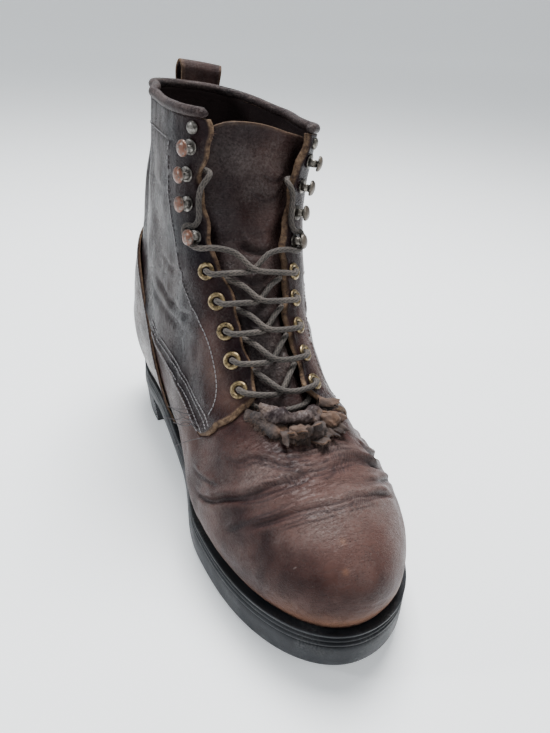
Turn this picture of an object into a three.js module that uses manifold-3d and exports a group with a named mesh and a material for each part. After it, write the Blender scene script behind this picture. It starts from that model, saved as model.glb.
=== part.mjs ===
// A worn lace-up work boot for the left foot: plain toe, five pairs of eyelets, four pairs of lace
// hooks. Millimetres, +Z up, toe towards -Y, outer side of the foot towards +X.
// The upper, tongue, heel counter, collar roll and laces are all worked out from one form, boot(u, v):
// u runs once round the boot from the toe, along the outer side to the heel and back along the inner
// side, and v climbs from the sole (0) to the collar (7).

import * as THREE from 'three';
import { mergeVertices } from 'three/addons/utils/BufferGeometryUtils.js';
import Module from 'manifold-3d';

const wasm = await Module();
wasm.setup();

// Driving dimensions
const heelEnd = 159;
const forefootThickness = 22;
const heelThickness = 36;
const toeSpring = 12.4;
const springStart = -75;
const springReach = 85;
const weltThickness = 8;
const weltLedge = 4;
const weltGrooves = [5.6, 2.9];
const gap = 0.3;
const leather = 2.4;
const insoleThickness = 3;

// Sole
const outsoleThin = 7;
const waistStart = -15;
const waistEnd = 35;
const heelBreast = 0.372;
const edgeStep = 0.003;
const heelTaper = 4;
const grooveLength = 200;
const grooveSlant = -0.12;
const grooveWidth = 4;
const grooveDepth = 3.2;
const forefootLugs = 9;
const firstLug = -132;
const lugPitch = 14;

// Counter, collar, tongue and pull loop
const counterReach = 0.2;
const counterBluntness = 3;
const counterShoulder = 0.8;
const counterLow = 0.8;
const counterHigh = 5.3;
const counterGap = 0.6;
const counterThickness = 1.3;
const collarRoll = 2.9;
const collarStart = 2;
const collarLevelHeight = 46;
const tongueBottom = 3.7;
const tongueTop = 7;
const tongueCurve = 0.16;
const tongueGap = 1.9;
const tongueThickness = 2.4;
const tongueMargin = 0.03;
const tongueSlack = 9;
const pullLoopSpan = 0.058;
const pullLoopThickness = 2.2;
// Route of the loop's middle, as distance off the form and height over the collar: up from its outer
// end, over the top and down between itself and the roll
const pullLoopRoute = [[1.6, -30], [1.6, -19], [4.2, -13], [7.2, -6], [10.5, 0], [12, 7], [10.6, 13],
  [6.8, 16.5], [3.6, 13.5], [3.1, 7], [3.1, 0], [2, -6], [1.7, -13]];

// Eyelets and hooks: heights above the floor, on the middle line of the front
const eyeletHeights = [100, 113, 126.5, 140, 153.5];
const hookHeights = [169, 185, 200.5, 215];
const rivetHeight = 225;
const eyeletInset = 9.5;
const eyeletFlange = 5;
const eyeletBore = 2.3;
const eyeletBarrel = 2.9;
const fixingGap = 0.65;
const laceRadius = 1.75;

// Round ends of the outline, and how its stations share out u and the length
const heelPower = 2.4;
const toeShare = 0.18;
const heelShare = 0.37;
const ballPlace = 0.33;
const heelPlace = 0.8;

// Sections of the boot, from the sole up to the collar. front and back are points x, y, z on the
// middle line; ball, waist and heel give the half width on the outer side, on the inner side, and
// the height. bed is how much of the footbed's rise is added, lean is the drop of the outer side,
// and power is the bluntness of the front on the outer and on the inner side.
const sections = [
  { front: [-8, -153.5, 22], ball: [56, 50, 22], waist: [39, 36, 22], heel: [33, 34, 22], back: [0, 154, 22],
    bed: 1, lean: 0, power: [1.85, 2.15] },
  { front: [-8, -156, 41], ball: [58, 56, 40], waist: [43, 43, 42], heel: [37, 41, 44], back: [-1, 157, 44],
    bed: 1, lean: 0, power: [1.8, 2.15] },
  { front: [-8, -148.5, 58], ball: [52, 52, 58], waist: [44, 46, 62], heel: [39, 44, 66], back: [0, 156, 68],
    bed: 0.8, lean: 0, power: [1.8, 2.15] },
  { front: [-7, -124, 77], ball: [41, 45, 74], waist: [43, 46, 84], heel: [40, 43, 94], back: [2, 152, 96],
    bed: 0, lean: 0, power: [1.9, 2.15] },
  { front: [-5, -66, 92], ball: [37, 41, 99], waist: [42, 45, 107], heel: [39, 41, 114], back: [4, 146, 117],
    bed: 0, lean: 1, power: [2, 2.15] },
  { front: [-6, -25, 131], ball: [38, 41, 133], waist: [41, 43, 135], heel: [37, 37, 138],
    back: [8, 140, 142], bed: 0, lean: 3, power: [2, 2.6] },
  { front: [-4, 6, 184], ball: [41, 41, 184], waist: [43, 39, 184], heel: [38, 31, 186], back: [11, 136, 188],
    bed: 0, lean: 5, power: [2.8, 3.2] },
  { front: [1, 6, 230], ball: [46, 40, 228], waist: [49, 38, 229], heel: [42, 29, 231], back: [14, 134, 233],
    bed: 0, lean: 6, power: [2.8, 3.2] },
];
const throatLevel = 4;
const collarLevel = sections.length - 1;

// Where the facings' front edges stand, x on the outer and on the inner side, level by level from
// the throat to the collar
const facingOuter = [10, 9, 18, 29];
const facingInner = [-21, -20, -30, -27];

const mix = THREE.MathUtils.lerp;
const smooth = (value, from, to) => THREE.MathUtils.smoothstep(value, from, to);

// Height of the footbed above that of the ball: the heel's lift and the toe's spring
function bedRise(y) {
  const lift = (heelThickness - forefootThickness) * smooth(y, -10, 75);
  const reach = THREE.MathUtils.clamp((springStart - y) / springReach, 0, 1.2);
  return lift + toeSpring * reach * reach;
}

// A quarter of a blunt oval: [across, along], from the tip (turn 0) to the full width (turn 1)
function ovalQuarter(turn, power) {
  const angle = turn * Math.PI / 2;
  const across = Math.sin(angle);
  const along = Math.cos(angle);
  const radius = (across ** power + along ** power) ** (-1 / power);
  return [across * radius, along * radius];
}

const bedHeight = (y) => forefootThickness + bedRise(y);

// A point of one section at u
function sectionPoint(section, u) {
  const { front, ball, waist, heel, back } = section;
  const round = u - Math.floor(u);
  const outer = round < 0.5;
  const half = outer ? round : 1 - round;
  const side = outer ? 1 : -1;
  const width = (station) => side * (outer ? station[0] : station[1]);
  const ballY = mix(front[1], back[1], ballPlace);
  const heelY = mix(front[1], back[1], heelPlace);
  let x;
  let y;
  let z;
  if (half < toeShare) {
    const [across, along] = ovalQuarter(half / toeShare, section.power[outer ? 0 : 1]);
    x = mix(front[0], width(ball), across);
    y = mix(ballY, front[1], along);
    z = mix(front[2], ball[2], Math.sin(half / toeShare * Math.PI / 2) ** 2);
  } else if (half < heelShare) {
    const way = (half - toeShare) / (heelShare - toeShare);
    const first = smooth(way, 0, 0.5);
    const second = smooth(way, 0.5, 1);
    x = mix(mix(width(ball), width(waist), first), width(heel), second);
    y = mix(ballY, heelY, way);
    z = mix(mix(ball[2], waist[2], first), heel[2], second);
  } else {
    const [across, along] = ovalQuarter((0.5 - half) / (0.5 - heelShare), heelPower);
    x = mix(back[0], width(heel), across);
    y = mix(heelY, back[1], along);
    z = mix(back[2], heel[2], Math.sin((0.5 - half) / (0.5 - heelShare) * Math.PI / 2) ** 2);
  }
  z += section.bed * bedRise(y) - section.lean * x / 45;
  return new THREE.Vector3(x, y, z);
}

// The boot's outer form: the sections joined by a smooth curve at each u. Below the sole's edge and
// above the collar it goes on straight.
function boot(u, v) {
  const level = THREE.MathUtils.clamp(Math.floor(v), 0, collarLevel - 1);
  const t = v - level;
  const at = (index) => sectionPoint(sections[index], u);
  const lower = at(level);
  const upper = at(level + 1);
  const before = level > 0 ? at(level - 1) : lower.clone().multiplyScalar(2).sub(upper);
  const after = level + 2 <= collarLevel ? at(level + 2) : upper.clone().multiplyScalar(2).sub(lower);
  if (t > 1) {
    return upper.clone().addScaledVector(upper.clone().sub(lower), t - 1);
  }
  return new THREE.Vector3(
    spline(before.x, lower.x, upper.x, after.x, t),
    spline(before.y, lower.y, upper.y, after.y, t),
    spline(before.z, lower.z, upper.z, after.z, t),
  );
}

// Catmull-Rom spline from b to c
function spline(a, b, c, d, t) {
  const m0 = (c - a) / 2;
  const m1 = (d - b) / 2;
  const square = t * t;
  const cube = square * t;
  return (2 * b - 2 * c + m0 + m1) * cube + (3 * c - 3 * b - 2 * m0 - m1) * square + m0 * t + b;
}

// Outward unit normal of the form
function bootNormal(u, v) {
  const step = 0.002;
  const along = boot(u + step, v).sub(boot(u - step, v));
  const up = boot(u, v + step).sub(boot(u, Math.max(v - step, 0)));
  return along.cross(up).normalize();
}

// A point off the form by a distance outwards
function off(u, v, distance) {
  return boot(u, v).addScaledVector(bootNormal(u, v), distance);
}

// u on the front of the form where x is reached, by halving
function frontU(v, x) {
  let low = -toeShare;
  let high = toeShare;
  for (let pass = 0; pass < 40; pass += 1) {
    const middle = (low + high) / 2;
    if (boot(middle, v).x < x) {
      low = middle;
    } else {
      high = middle;
    }
  }
  return (low + high) / 2;
}

// u of a facing's front edge, outer side (+1) or inner side (-1), never below the throat
function facingU(v, side) {
  const edges = side > 0 ? facingOuter : facingInner;
  const height = THREE.MathUtils.clamp(v - throatLevel, 0, edges.length - 1);
  const index = Math.min(Math.floor(height), edges.length - 2);
  const before = edges[Math.max(index - 1, 0)];
  const after = edges[Math.min(index + 2, edges.length - 1)];
  return frontU(v, spline(before, edges[index], edges[index + 1], after, height - index));
}

// v where the middle line of the front reaches a height, by halving
function levelAt(height) {
  let low = throatLevel;
  let high = collarLevel;
  for (let pass = 0; pass < 40; pass += 1) {
    const middle = (low + high) / 2;
    if (boot(0, middle).z < height) {
      low = middle;
    } else {
      high = middle;
    }
  }
  return (low + high) / 2;
}

// A closed wall between two skins of points over the same grid. outside and inside give the point at
// a row and column, and kept says which cells exist.
function wall(rows, columns, wraps, outside, inside, kept = () => true) {
  const positions = [];
  const faces = [];
  const span = wraps ? columns : columns + 1;
  for (const skin of [outside, inside]) {
    for (let row = 0; row <= rows; row += 1) {
      for (let column = 0; column < span; column += 1) {
        positions.push(...skin(row, column).toArray());
      }
    }
  }
  const layer = (rows + 1) * span;
  const corner = (row, column) => row * span + column % span;
  const exists = (row, column) => {
    const inRows = row >= 0 && row < rows;
    const inColumns = wraps || (column >= 0 && column < columns);
    return inRows && inColumns && kept(row, (column + columns) % columns);
  };
  const quad = (a, b, c, d) => faces.push(a, b, c, a, c, d);
  for (let row = 0; row < rows; row += 1) {
    for (let column = 0; column < columns; column += 1) {
      if (!exists(row, column)) {
        continue;
      }
      const a = corner(row, column);
      const b = corner(row, column + 1);
      const c = corner(row + 1, column + 1);
      const d = corner(row + 1, column);
      quad(a, b, c, d);
      quad(d + layer, c + layer, b + layer, a + layer);
      const sides = [
        [row - 1, column, a, b],
        [row, column + 1, b, c],
        [row + 1, column, c, d],
        [row, column - 1, d, a],
      ];
      for (const [nextRow, nextColumn, from, to] of sides) {
        if (!exists(nextRow, nextColumn)) {
          quad(to, from, from + layer, to + layer);
        }
      }
    }
  }
  return closed(positions, faces);
}

// A BufferGeometry with shared corners and no flat triangles
function closed(positions, faces) {
  const geometry = new THREE.BufferGeometry();
  geometry.setAttribute('position', new THREE.Float32BufferAttribute(positions, 3));
  geometry.setIndex(faces);
  const merged = mergeVertices(geometry, 1e-3);
  const index = merged.getIndex().array;
  const kept = [];
  for (let i = 0; i < index.length; i += 3) {
    const [a, b, c] = index.slice(i, i + 3);
    if (a !== b && b !== c && c !== a) {
      kept.push(a, b, c);
    }
  }
  merged.setIndex(kept);
  return merged;
}

function toSolid(geometry) {
  const plain = geometry.clone();
  plain.deleteAttribute('normal');
  plain.deleteAttribute('uv');
  const merged = mergeVertices(plain, 1e-3);
  const vertProperties = new Float32Array(merged.getAttribute('position').array);
  const triVerts = new Uint32Array(merged.getIndex().array);
  return new wasm.Manifold(new wasm.Mesh({ numProp: 3, vertProperties, triVerts }));
}

function toGeometry(solid) {
  const mesh = solid.getMesh();
  return closed(Array.from(mesh.vertProperties), Array.from(mesh.triVerts));
}

// A turned piece with its axis along Z
function turned(profile, segments) {
  const points = profile.map(([radius, height]) => new THREE.Vector2(radius, height));
  return new THREE.LatheGeometry([...points, points[0]], segments).rotateX(Math.PI / 2);
}

// Moves a piece modelled at the origin, +Z outwards, onto the form
function placed(geometry, u, v, distance) {
  const normal = bootNormal(u, v);
  const up = boot(u, v + 0.05).sub(boot(u, v - 0.05)).normalize();
  const across = new THREE.Vector3().crossVectors(up, normal).normalize();
  const square = new THREE.Vector3().crossVectors(normal, across);
  const matrix = new THREE.Matrix4().makeBasis(across, square, normal);
  matrix.setPosition(off(u, v, distance));
  return geometry.clone().applyMatrix4(matrix);
}

// A round cord through points
function cord(points, radius, sides, steps) {
  const path = new THREE.CatmullRomCurve3(points, false, 'centripetal');
  const section = new THREE.Shape();
  for (let i = 0; i < sides; i += 1) {
    const angle = i / sides * 2 * Math.PI;
    const [x, y] = [radius * Math.cos(angle), radius * Math.sin(angle)];
    if (i === 0) {
      section.moveTo(x, y);
    } else {
      section.lineTo(x, y);
    }
  }
  section.closePath();
  return new THREE.ExtrudeGeometry(section, { steps, extrudePath: path });
}

// Sole pieces

// The two points of the sole's edge at u, outer and inner side, moved out from the feather line
function soleStation(u, ledge) {
  const edgePoint = (turn) => {
    const point = sectionPoint(sections[0], turn);
    if (u === 0 || u === 0.5) {
      return point.setY(point.y + (u === 0 ? -ledge : ledge));
    }
    const run = sectionPoint(sections[0], turn + edgeStep).sub(sectionPoint(sections[0], turn - edgeStep));
    run.setZ(0).normalize();
    return point.add(new THREE.Vector3(run.y * ledge, -run.x * ledge, 0));
  };
  return [edgePoint(u), edgePoint(1 - u)];
}

// A slab of the sole: rows of [ledge, height function], from the bottom up, over part of the length
function slab(rows, stations = 32, fromU = 0, toU = 0.5) {
  const positions = [];
  const faces = [];
  const ring = [];
  const us = Array.from({ length: stations + 1 }, (unused, i) => mix(fromU, toU, i / stations));
  for (const [ledge, height] of rows) {
    const outerSide = [];
    const innerSide = [];
    for (const u of us) {
      const [outer, inner] = soleStation(u, ledge);
      outerSide.push([outer.x, outer.y, height(outer.y)]);
      innerSide.push([inner.x, inner.y, height(inner.y)]);
    }
    ring.push([outerSide, innerSide]);
  }
  const index = (row, side, i) => (row * 2 + side) * us.length + i;
  for (const [outerSide, innerSide] of ring) {
    positions.push(...outerSide.flat(), ...innerSide.flat());
  }
  const quad = (a, b, c, d) => faces.push(a, b, c, a, c, d);
  const top = rows.length - 1;
  for (let i = 0; i < stations; i += 1) {
    quad(index(top, 1, i), index(top, 0, i), index(top, 0, i + 1), index(top, 1, i + 1));
    quad(index(0, 0, i), index(0, 1, i), index(0, 1, i + 1), index(0, 0, i + 1));
    for (let row = 0; row < top; row += 1) {
      quad(index(row, 0, i), index(row, 0, i + 1), index(row + 1, 0, i + 1), index(row + 1, 0, i));
      quad(index(row, 1, i + 1), index(row, 1, i), index(row + 1, 1, i), index(row + 1, 1, i + 1));
    }
  }
  for (const [end, first, second] of [[0, 1, 0], [stations, 0, 1]]) {
    for (let row = 0; row < top; row += 1) {
      const below = [index(row, first, end), index(row, second, end)];
      const above = [index(row + 1, second, end), index(row + 1, first, end)];
      quad(...below, ...above);
    }
  }
  return closed(positions, faces);
}

// Height of the outsole's underside: on the floor at the forefoot, a thin layer at waist and heel
function outsoleUnderside(y) {
  const thin = bedHeight(y) - weltThickness - gap - outsoleThin;
  return mix(bedRise(Math.min(y, springStart)) - bedRise(springStart), thin, smooth(y, waistStart, waistEnd));
}

// Straight grooves between the lugs, cut up into an underside
function grooved(geometry, places, width, depth, underside) {
  let solid = toSolid(geometry);
  for (const y of places) {
    const groove = new THREE.BoxGeometry(grooveLength, width, 2 * depth);
    groove.rotateZ(grooveSlant);
    groove.translate(0, y, underside(y));
    solid = solid.subtract(toSolid(groove));
  }
  return toGeometry(solid);
}

function outsoleGeometry() {
  const top = (y) => bedHeight(y) - weltThickness - gap;
  const rows = [
    [weltLedge - 1.5, outsoleUnderside],
    [weltLedge, (y) => mix(outsoleUnderside(y), top(y), 0.25)],
    [weltLedge, top],
  ];
  const places = Array.from({ length: forefootLugs }, (unused, i) => firstLug + i * lugPitch);
  return grooved(slab(rows), places, grooveWidth, grooveDepth, outsoleUnderside);
}

function heelGeometry() {
  const top = (y) => outsoleUnderside(y) - gap;
  const rows = [
    [weltLedge - heelTaper, () => 0],
    [weltLedge - heelTaper + 1, (y) => 0.12 * top(y)],
    [weltLedge - 0.5, top],
  ];
  const places = [heelEnd - 22, heelEnd - 40];
  return grooved(slab(rows, 18, heelBreast), places, grooveWidth, grooveDepth, () => 0);
}

// Two grooves run round the edge of the welt
function weltGeometry() {
  const rows = [[weltLedge, (y) => bedHeight(y) - weltThickness]];
  for (const middle of weltGrooves) {
    rows.push([weltLedge, (y) => bedHeight(y) - middle - 0.8]);
    rows.push([weltLedge - 1.3, (y) => bedHeight(y) - middle]);
    rows.push([weltLedge, (y) => bedHeight(y) - middle + 0.8]);
  }
  rows.push([weltLedge, (y) => bedHeight(y) - 2 * gap - 0.7]);
  rows.push([weltLedge - 0.7, (y) => bedHeight(y) - 2 * gap]);
  return slab(rows);
}

function insoleGeometry() {
  const ledge = -leather - 1;
  return slab([[ledge, bedHeight], [ledge, (y) => bedHeight(y) + insoleThickness]]);
}

// Where every eyelet, hook and rivet sits on the facings
const fixings = [];
for (const side of [1, -1]) {
  const rowsOf = { eyelet: eyeletHeights, hook: hookHeights, rivet: [rivetHeight] };
  for (const [kind, heights] of Object.entries(rowsOf)) {
    heights.forEach((height, i) => {
      const v = levelAt(height);
      fixings.push({ kind, number: i + 1, side, v, u: insetU(v, side, eyeletInset) });
    });
  }
}

// Upper

const frontColumns = 6;
const sideColumns = 17;
const rowsBelowThroat = 10;
const rowsAboveThroat = 8;

// u of a column of the upper: from the inner facing's edge across the front to the outer facing's
// edge, and on round the heel
function upperU(column, v) {
  const level = Math.max(v, throatLevel);
  const outerEdge = facingU(level, 1);
  const innerEdge = facingU(level, -1);
  if (column <= frontColumns) {
    return mix(innerEdge, outerEdge, column / frontColumns);
  }
  const way = (column - frontColumns) / sideColumns;
  return way < 1 ? mix(outerEdge, 0.5, way) : mix(0.5, 1 + innerEdge, way - 1);
}

function upperGeometry() {
  const rows = rowsBelowThroat + rowsAboveThroat;
  const columns = frontColumns + 2 * sideColumns;
  const level = (row) => (row <= rowsBelowThroat
    ? throatLevel * row / rowsBelowThroat
    : mix(throatLevel, collarLevel, (row - rowsBelowThroat) / rowsAboveThroat));
  const edges = Array.from({ length: rows + 1 }, (unused, row) => {
    const v = Math.max(level(row), throatLevel);
    return Array.from({ length: columns + 1 }, (none, column) => upperU(column, v));
  });
  const outside = (row, column) => boot(edges[row][column], level(row));
  const inside = (row, column) => {
    const point = off(edges[row][column], level(row), -leather);
    return row === 0 ? point.setZ(bedHeight(point.y)) : point;
  };
  const kept = (row, column) => row < rowsBelowThroat || column >= frontColumns;
  let solid = toSolid(wall(rows, columns, true, outside, inside, kept));
  for (const fixing of fixings.filter(({ kind }) => kind === 'eyelet')) {
    const drill = new THREE.CylinderGeometry(eyeletBarrel + gap, eyeletBarrel + gap, 4 * leather, 12);
    drill.rotateX(Math.PI / 2);
    solid = solid.subtract(toSolid(placed(drill, fixing.u, fixing.v, -leather / 2)));
  }
  return toGeometry(solid);
}

// The counter wraps the heel, high at the back and low at its front ends
function counterGeometry() {
  const [rows, columns] = [10, 32];
  const across = (column) => column / columns * 2 - 1;
  const u = (column) => 0.5 + across(column) * counterReach;
  const arch = (column) => (1 - Math.abs(across(column)) ** counterBluntness) ** counterShoulder;
  const top = (column) => mix(counterLow, counterHigh, arch(column));
  const v = (row, column) => mix(0.12, top(column), row / rows);
  return wall(rows, columns, false,
    (row, column) => off(u(column), v(row, column), counterGap + counterThickness),
    (row, column) => off(u(column), v(row, column), counterGap));
}

// A rolled edge along the collar, from one facing to the other round the back
function collarGeometry() {
  const from = insetU(collarLevel, 1, collarStart);
  const to = 1 + insetU(collarLevel, -1, collarStart);
  const points = Array.from({ length: 29 }, (unused, i) => {
    const middle = off(mix(from, to, i / 28), collarLevel, -leather / 2);
    return middle.setZ(middle.z + collarRoll + gap);
  });
  return cord(points, collarRoll, 8, 28);
}

// The tongue lies behind the facings and leans back from them towards its curved top
function tongueGeometry() {
  const [rows, columns] = [12, 10];
  const across = (column) => column / columns * 2 - 1;
  const v = (row, column) => mix(tongueBottom, tongueTop - tongueCurve * across(column) ** 2, row / rows);
  const skin = (row, column, depth) => {
    const level = v(row, column);
    const from = facingU(level, -1) - tongueMargin;
    const to = facingU(level, 1) + tongueMargin;
    const point = off(mix(from, to, column / columns), level, -leather - tongueGap - depth);
    point.y += tongueSlack * smooth(level, throatLevel + 1, tongueTop);
    return point;
  };
  return wall(rows, columns, false,
    (row, column) => skin(row, column, 0),
    (row, column) => skin(row, column, tongueThickness));
}

// A folded strap that stands behind the collar roll, sewn to the outside of the back
function pullLoopGeometry() {
  const route = pullLoopRoute;
  const columns = 4;
  const rows = route.length - 1;
  const skin = (row, column, side) => {
    const [offsetBefore, heightBefore] = route[Math.max(row - 1, 0)];
    const [offsetAfter, heightAfter] = route[Math.min(row + 1, rows)];
    const run = Math.hypot(offsetAfter - offsetBefore, heightAfter - heightBefore);
    const half = side * pullLoopThickness / 2;
    const distance = route[row][0] + half * (heightAfter - heightBefore) / run;
    const height = route[row][1] - half * (offsetAfter - offsetBefore) / run;
    const u = 0.5 + (column / columns - 0.5) * pullLoopSpan;
    return off(u, collarLevel + height / collarLevelHeight, distance);
  };
  return wall(rows, columns, false,
    (row, column) => skin(row, column, 1),
    (row, column) => skin(row, column, -1));
}

// Metal fixings, modelled with +Z away from the leather

// A rolled ring with its barrel through the leather
function eyeletGeometry() {
  const back = -leather - fixingGap;
  const front = fixingGap;
  return turned([[eyeletBore, back - 0.5], [eyeletBarrel + 0.8, back - 0.5], [eyeletBarrel, back],
    [eyeletBarrel, front], [eyeletFlange, front], [eyeletFlange - 0.6, front + 0.8],
    [eyeletBore + 0.3, front + 1]], 10);
}

// A round foot, a bent neck and a wide cap that the lace catches under
function hookGeometry(side) {
  const foot = new THREE.CylinderGeometry(4.2, 4.2, 0.8, 10).rotateX(Math.PI / 2);
  foot.translate(0, 0, fixingGap + 0.4);
  const neck = new THREE.BoxGeometry(1.8, 3.6, 5).translate(-side * 2, 0, fixingGap + 3);
  const cap = new THREE.CylinderGeometry(3.2, 4.4, 1.6, 10).rotateX(Math.PI / 2);
  cap.rotateY(side * 0.25).translate(side * 0.6, 0, fixingGap + 5.6);
  return toGeometry(toSolid(foot).add(toSolid(neck)).add(toSolid(cap)));
}

function rivetGeometry() {
  return turned([[0, 0], [3.4, 0], [3, 1], [1.7, 1.7], [0, 1.9]], 12);
}

// Laces

// u a distance back from a facing's edge, in millimetres over the leather
function insetU(v, side, distance) {
  const edge = facingU(v, side);
  const step = 0.004;
  const perStep = boot(edge + side * step, v).distanceTo(boot(edge, v));
  return edge + side * step * distance / perStep;
}

function besideFacing(v, side, distance, height) {
  return off(insetU(v, side, distance), v, height);
}

// One leg of a crossing: over one facing, across the gap and down behind the other facing's edge
function laceLeg(low, high, side) {
  const middle = (low + high) / 2;
  const points = [
    besideFacing(low, side, 3.6, 2.4),
    besideFacing(mix(low, high, 0.12), side, -1.5, 2.3),
    off((facingU(middle, 1) + facingU(middle, -1)) / 2, middle, 1),
    besideFacing(mix(low, high, 0.85), -side, -4, -1.4),
  ];
  return cord(points, laceRadius, 8, 6);
}

function laceCrossing(low, high) {
  return toGeometry(toSolid(laceLeg(low, high, 1)).add(toSolid(laceLeg(low, high, -1))));
}

function laceBar(v) {
  const places = [-1, -0.5, 0, 0.5, 1];
  const level = v - 0.12;
  const from = facingU(level, -1) + 0.012;
  const to = facingU(level, 1) - 0.012;
  return cord(places.map((place) => off(mix(from, to, (place + 1) / 2), level, -1.2)), laceRadius, 8, 10);
}

// A free end: up beside the hooks, over the facing's edge and down inside the boot
function laceEnd(side) {
  const [first, second, third] = hookHeights.map(levelAt);
  const points = [
    besideFacing(mix(first, second, 0.12), side, 2.2, 2.4),
    besideFacing(mix(first, second, 0.6), side, 2, 2.4),
    besideFacing(mix(second, third, 0.2), side, 1.6, 2.5),
    besideFacing(mix(second, third, 0.7), side, 0, 3),
    besideFacing(mix(second, third, 1.15), side, -3, 2),
    besideFacing(mix(second, third, 1.3), side, -4.6, -1.6),
  ];
  return cord(points, laceRadius, 8, 16);
}

// Assembly

const materials = {
  leather: { color: 0x4a2a24, roughness: 0.5, metalness: 0 },
  roll: { color: 0x4b433f, roughness: 0.7, metalness: 0 },
  rubber: { color: 0x1c2126, roughness: 0.7, metalness: 0 },
  lining: { color: 0x6b5240, roughness: 0.9, metalness: 0 },
  brass: { color: 0x8a7350, roughness: 0.4, metalness: 1 },
  lace: { color: 0x4d4743, roughness: 0.9, metalness: 0 },
};

const group = new THREE.Group();

function addPiece(name, geometry, material) {
  const mesh = new THREE.Mesh(geometry, new THREE.MeshStandardMaterial(materials[material]));
  mesh.name = name;
  group.add(mesh);
}

addPiece('outsole', outsoleGeometry(), 'rubber');
addPiece('heel', heelGeometry(), 'rubber');
addPiece('welt', weltGeometry(), 'rubber');
addPiece('insole', insoleGeometry(), 'lining');
addPiece('upper', upperGeometry(), 'leather');
addPiece('heel_counter', counterGeometry(), 'leather');
addPiece('collar_roll', collarGeometry(), 'roll');
addPiece('tongue', tongueGeometry(), 'leather');
addPiece('pull_loop', pullLoopGeometry(), 'leather');

const shapes = { eyelet: eyeletGeometry, hook: hookGeometry, rivet: rivetGeometry };
for (const { kind, number, side, u, v } of fixings) {
  const distance = kind === 'rivet' ? fixingGap : 0;
  const name = `${kind}_${side > 0 ? 'outer' : 'inner'}_${number}`;
  addPiece(name, placed(shapes[kind](side), u, v, distance), 'brass');
}

const laceLevels = [...eyeletHeights, hookHeights[0]].map(levelAt);
addPiece('lace_bar', laceBar(laceLevels[0]), 'lace');
for (let i = 0; i + 1 < laceLevels.length; i += 1) {
  addPiece(`lace_crossing_${i + 1}`, laceCrossing(laceLevels[i], laceLevels[i + 1]), 'lace');
}
addPiece('lace_end_outer', laceEnd(1), 'lace');
addPiece('lace_end_inner', laceEnd(-1), 'lace');

// The origin is on the floor, under the middle of the whole boot
const box = new THREE.Box3().setFromObject(group, true);
group.position.set(-(box.min.x + box.max.x) / 2, -(box.min.y + box.max.y) / 2, -box.min.z);

export default group;
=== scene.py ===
# Looks of a worn lace-up work boot for the left foot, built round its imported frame.
# Lengths are millimetres until a piece is made, +Z up, toe towards -Y, outer side towards +X.
# u runs once round the boot from the toe along the outer side, v climbs from sole (0) to collar (7).
import bmesh
import bpy
import numpy as np
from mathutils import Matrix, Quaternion, Vector


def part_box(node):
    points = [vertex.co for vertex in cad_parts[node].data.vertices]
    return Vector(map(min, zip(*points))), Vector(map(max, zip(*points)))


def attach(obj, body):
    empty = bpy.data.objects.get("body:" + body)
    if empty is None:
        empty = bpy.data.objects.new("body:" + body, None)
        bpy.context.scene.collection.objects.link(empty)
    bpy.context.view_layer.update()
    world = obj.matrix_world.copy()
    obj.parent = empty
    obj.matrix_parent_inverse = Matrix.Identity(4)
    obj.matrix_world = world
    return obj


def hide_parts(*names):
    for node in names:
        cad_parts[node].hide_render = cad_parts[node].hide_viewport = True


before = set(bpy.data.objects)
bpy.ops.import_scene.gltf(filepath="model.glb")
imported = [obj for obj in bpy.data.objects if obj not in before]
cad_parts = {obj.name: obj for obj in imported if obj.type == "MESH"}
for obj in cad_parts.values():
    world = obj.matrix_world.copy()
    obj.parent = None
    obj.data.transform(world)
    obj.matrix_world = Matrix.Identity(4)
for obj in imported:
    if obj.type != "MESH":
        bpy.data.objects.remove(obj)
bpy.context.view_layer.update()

last = dict(forefoot=22, heel=36, toeSpring=12.4, springStart=-75, springReach=85, leather=2.4,
            toeShare=.18, heelShare=.37, ballPlace=.33, heelPlace=.8, heelPower=2.4, ledge=4)
sections = [  # points x, y, z on the middle line; outer half, inner half, height of three stations
    dict(front=(-8, -153.5, 22), ball=(56, 50, 22), waist=(39, 36, 22), heel=(33, 34, 22),
         back=(0, 154, 22), bed=1, lean=0, power=(1.85, 2.15)),
    dict(front=(-8, -156, 41), ball=(58, 56, 40), waist=(43, 43, 42), heel=(37, 41, 44),
         back=(-1, 157, 44), bed=1, lean=0, power=(1.8, 2.15)),
    dict(front=(-8, -148.5, 58), ball=(52, 52, 58), waist=(44, 46, 62), heel=(39, 44, 66),
         back=(0, 156, 68), bed=.8, lean=0, power=(1.8, 2.15)),
    dict(front=(-7, -124, 77), ball=(41, 45, 74), waist=(43, 46, 84), heel=(40, 43, 94),
         back=(2, 152, 96), bed=0, lean=0, power=(1.9, 2.15)),
    dict(front=(-5, -66, 92), ball=(37, 41, 99), waist=(42, 45, 107), heel=(39, 41, 114),
         back=(4, 146, 117), bed=0, lean=1, power=(2, 2.15)),
    dict(front=(-6, -25, 131), ball=(38, 41, 133), waist=(41, 43, 135), heel=(37, 37, 138),
         back=(8, 140, 142), bed=0, lean=3, power=(2, 2.6)),
    dict(front=(-4, 6, 184), ball=(41, 41, 184), waist=(43, 39, 184), heel=(38, 31, 186),
         back=(11, 136, 188), bed=0, lean=5, power=(2.8, 3.2)),
    dict(front=(1, 6, 230), ball=(46, 40, 228), waist=(49, 38, 229), heel=(42, 29, 231),
         back=(14, 134, 233), bed=0, lean=6, power=(2.8, 3.2)),
]
throatLevel = 4
collarLevel = len(sections) - 1
facings = dict(outer=(10, 9, 18, 29), inner=(-21, -20, -30, -27))  # x of the edges, level by level


def mix(a, b, t):  # straight blend from a to b
    return a + (b - a) * t


def smooth(x, low, high):  # 3t^2 - 2t^3 between two values
    t = np.clip((x - low) / (high - low), 0, 1)
    return t * t * (3 - 2 * t)


def unit(vectors):  # vectors scaled to length one
    return vectors / np.maximum(np.linalg.norm(vectors, axis=-1, keepdims=True), 1e-9)


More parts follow.
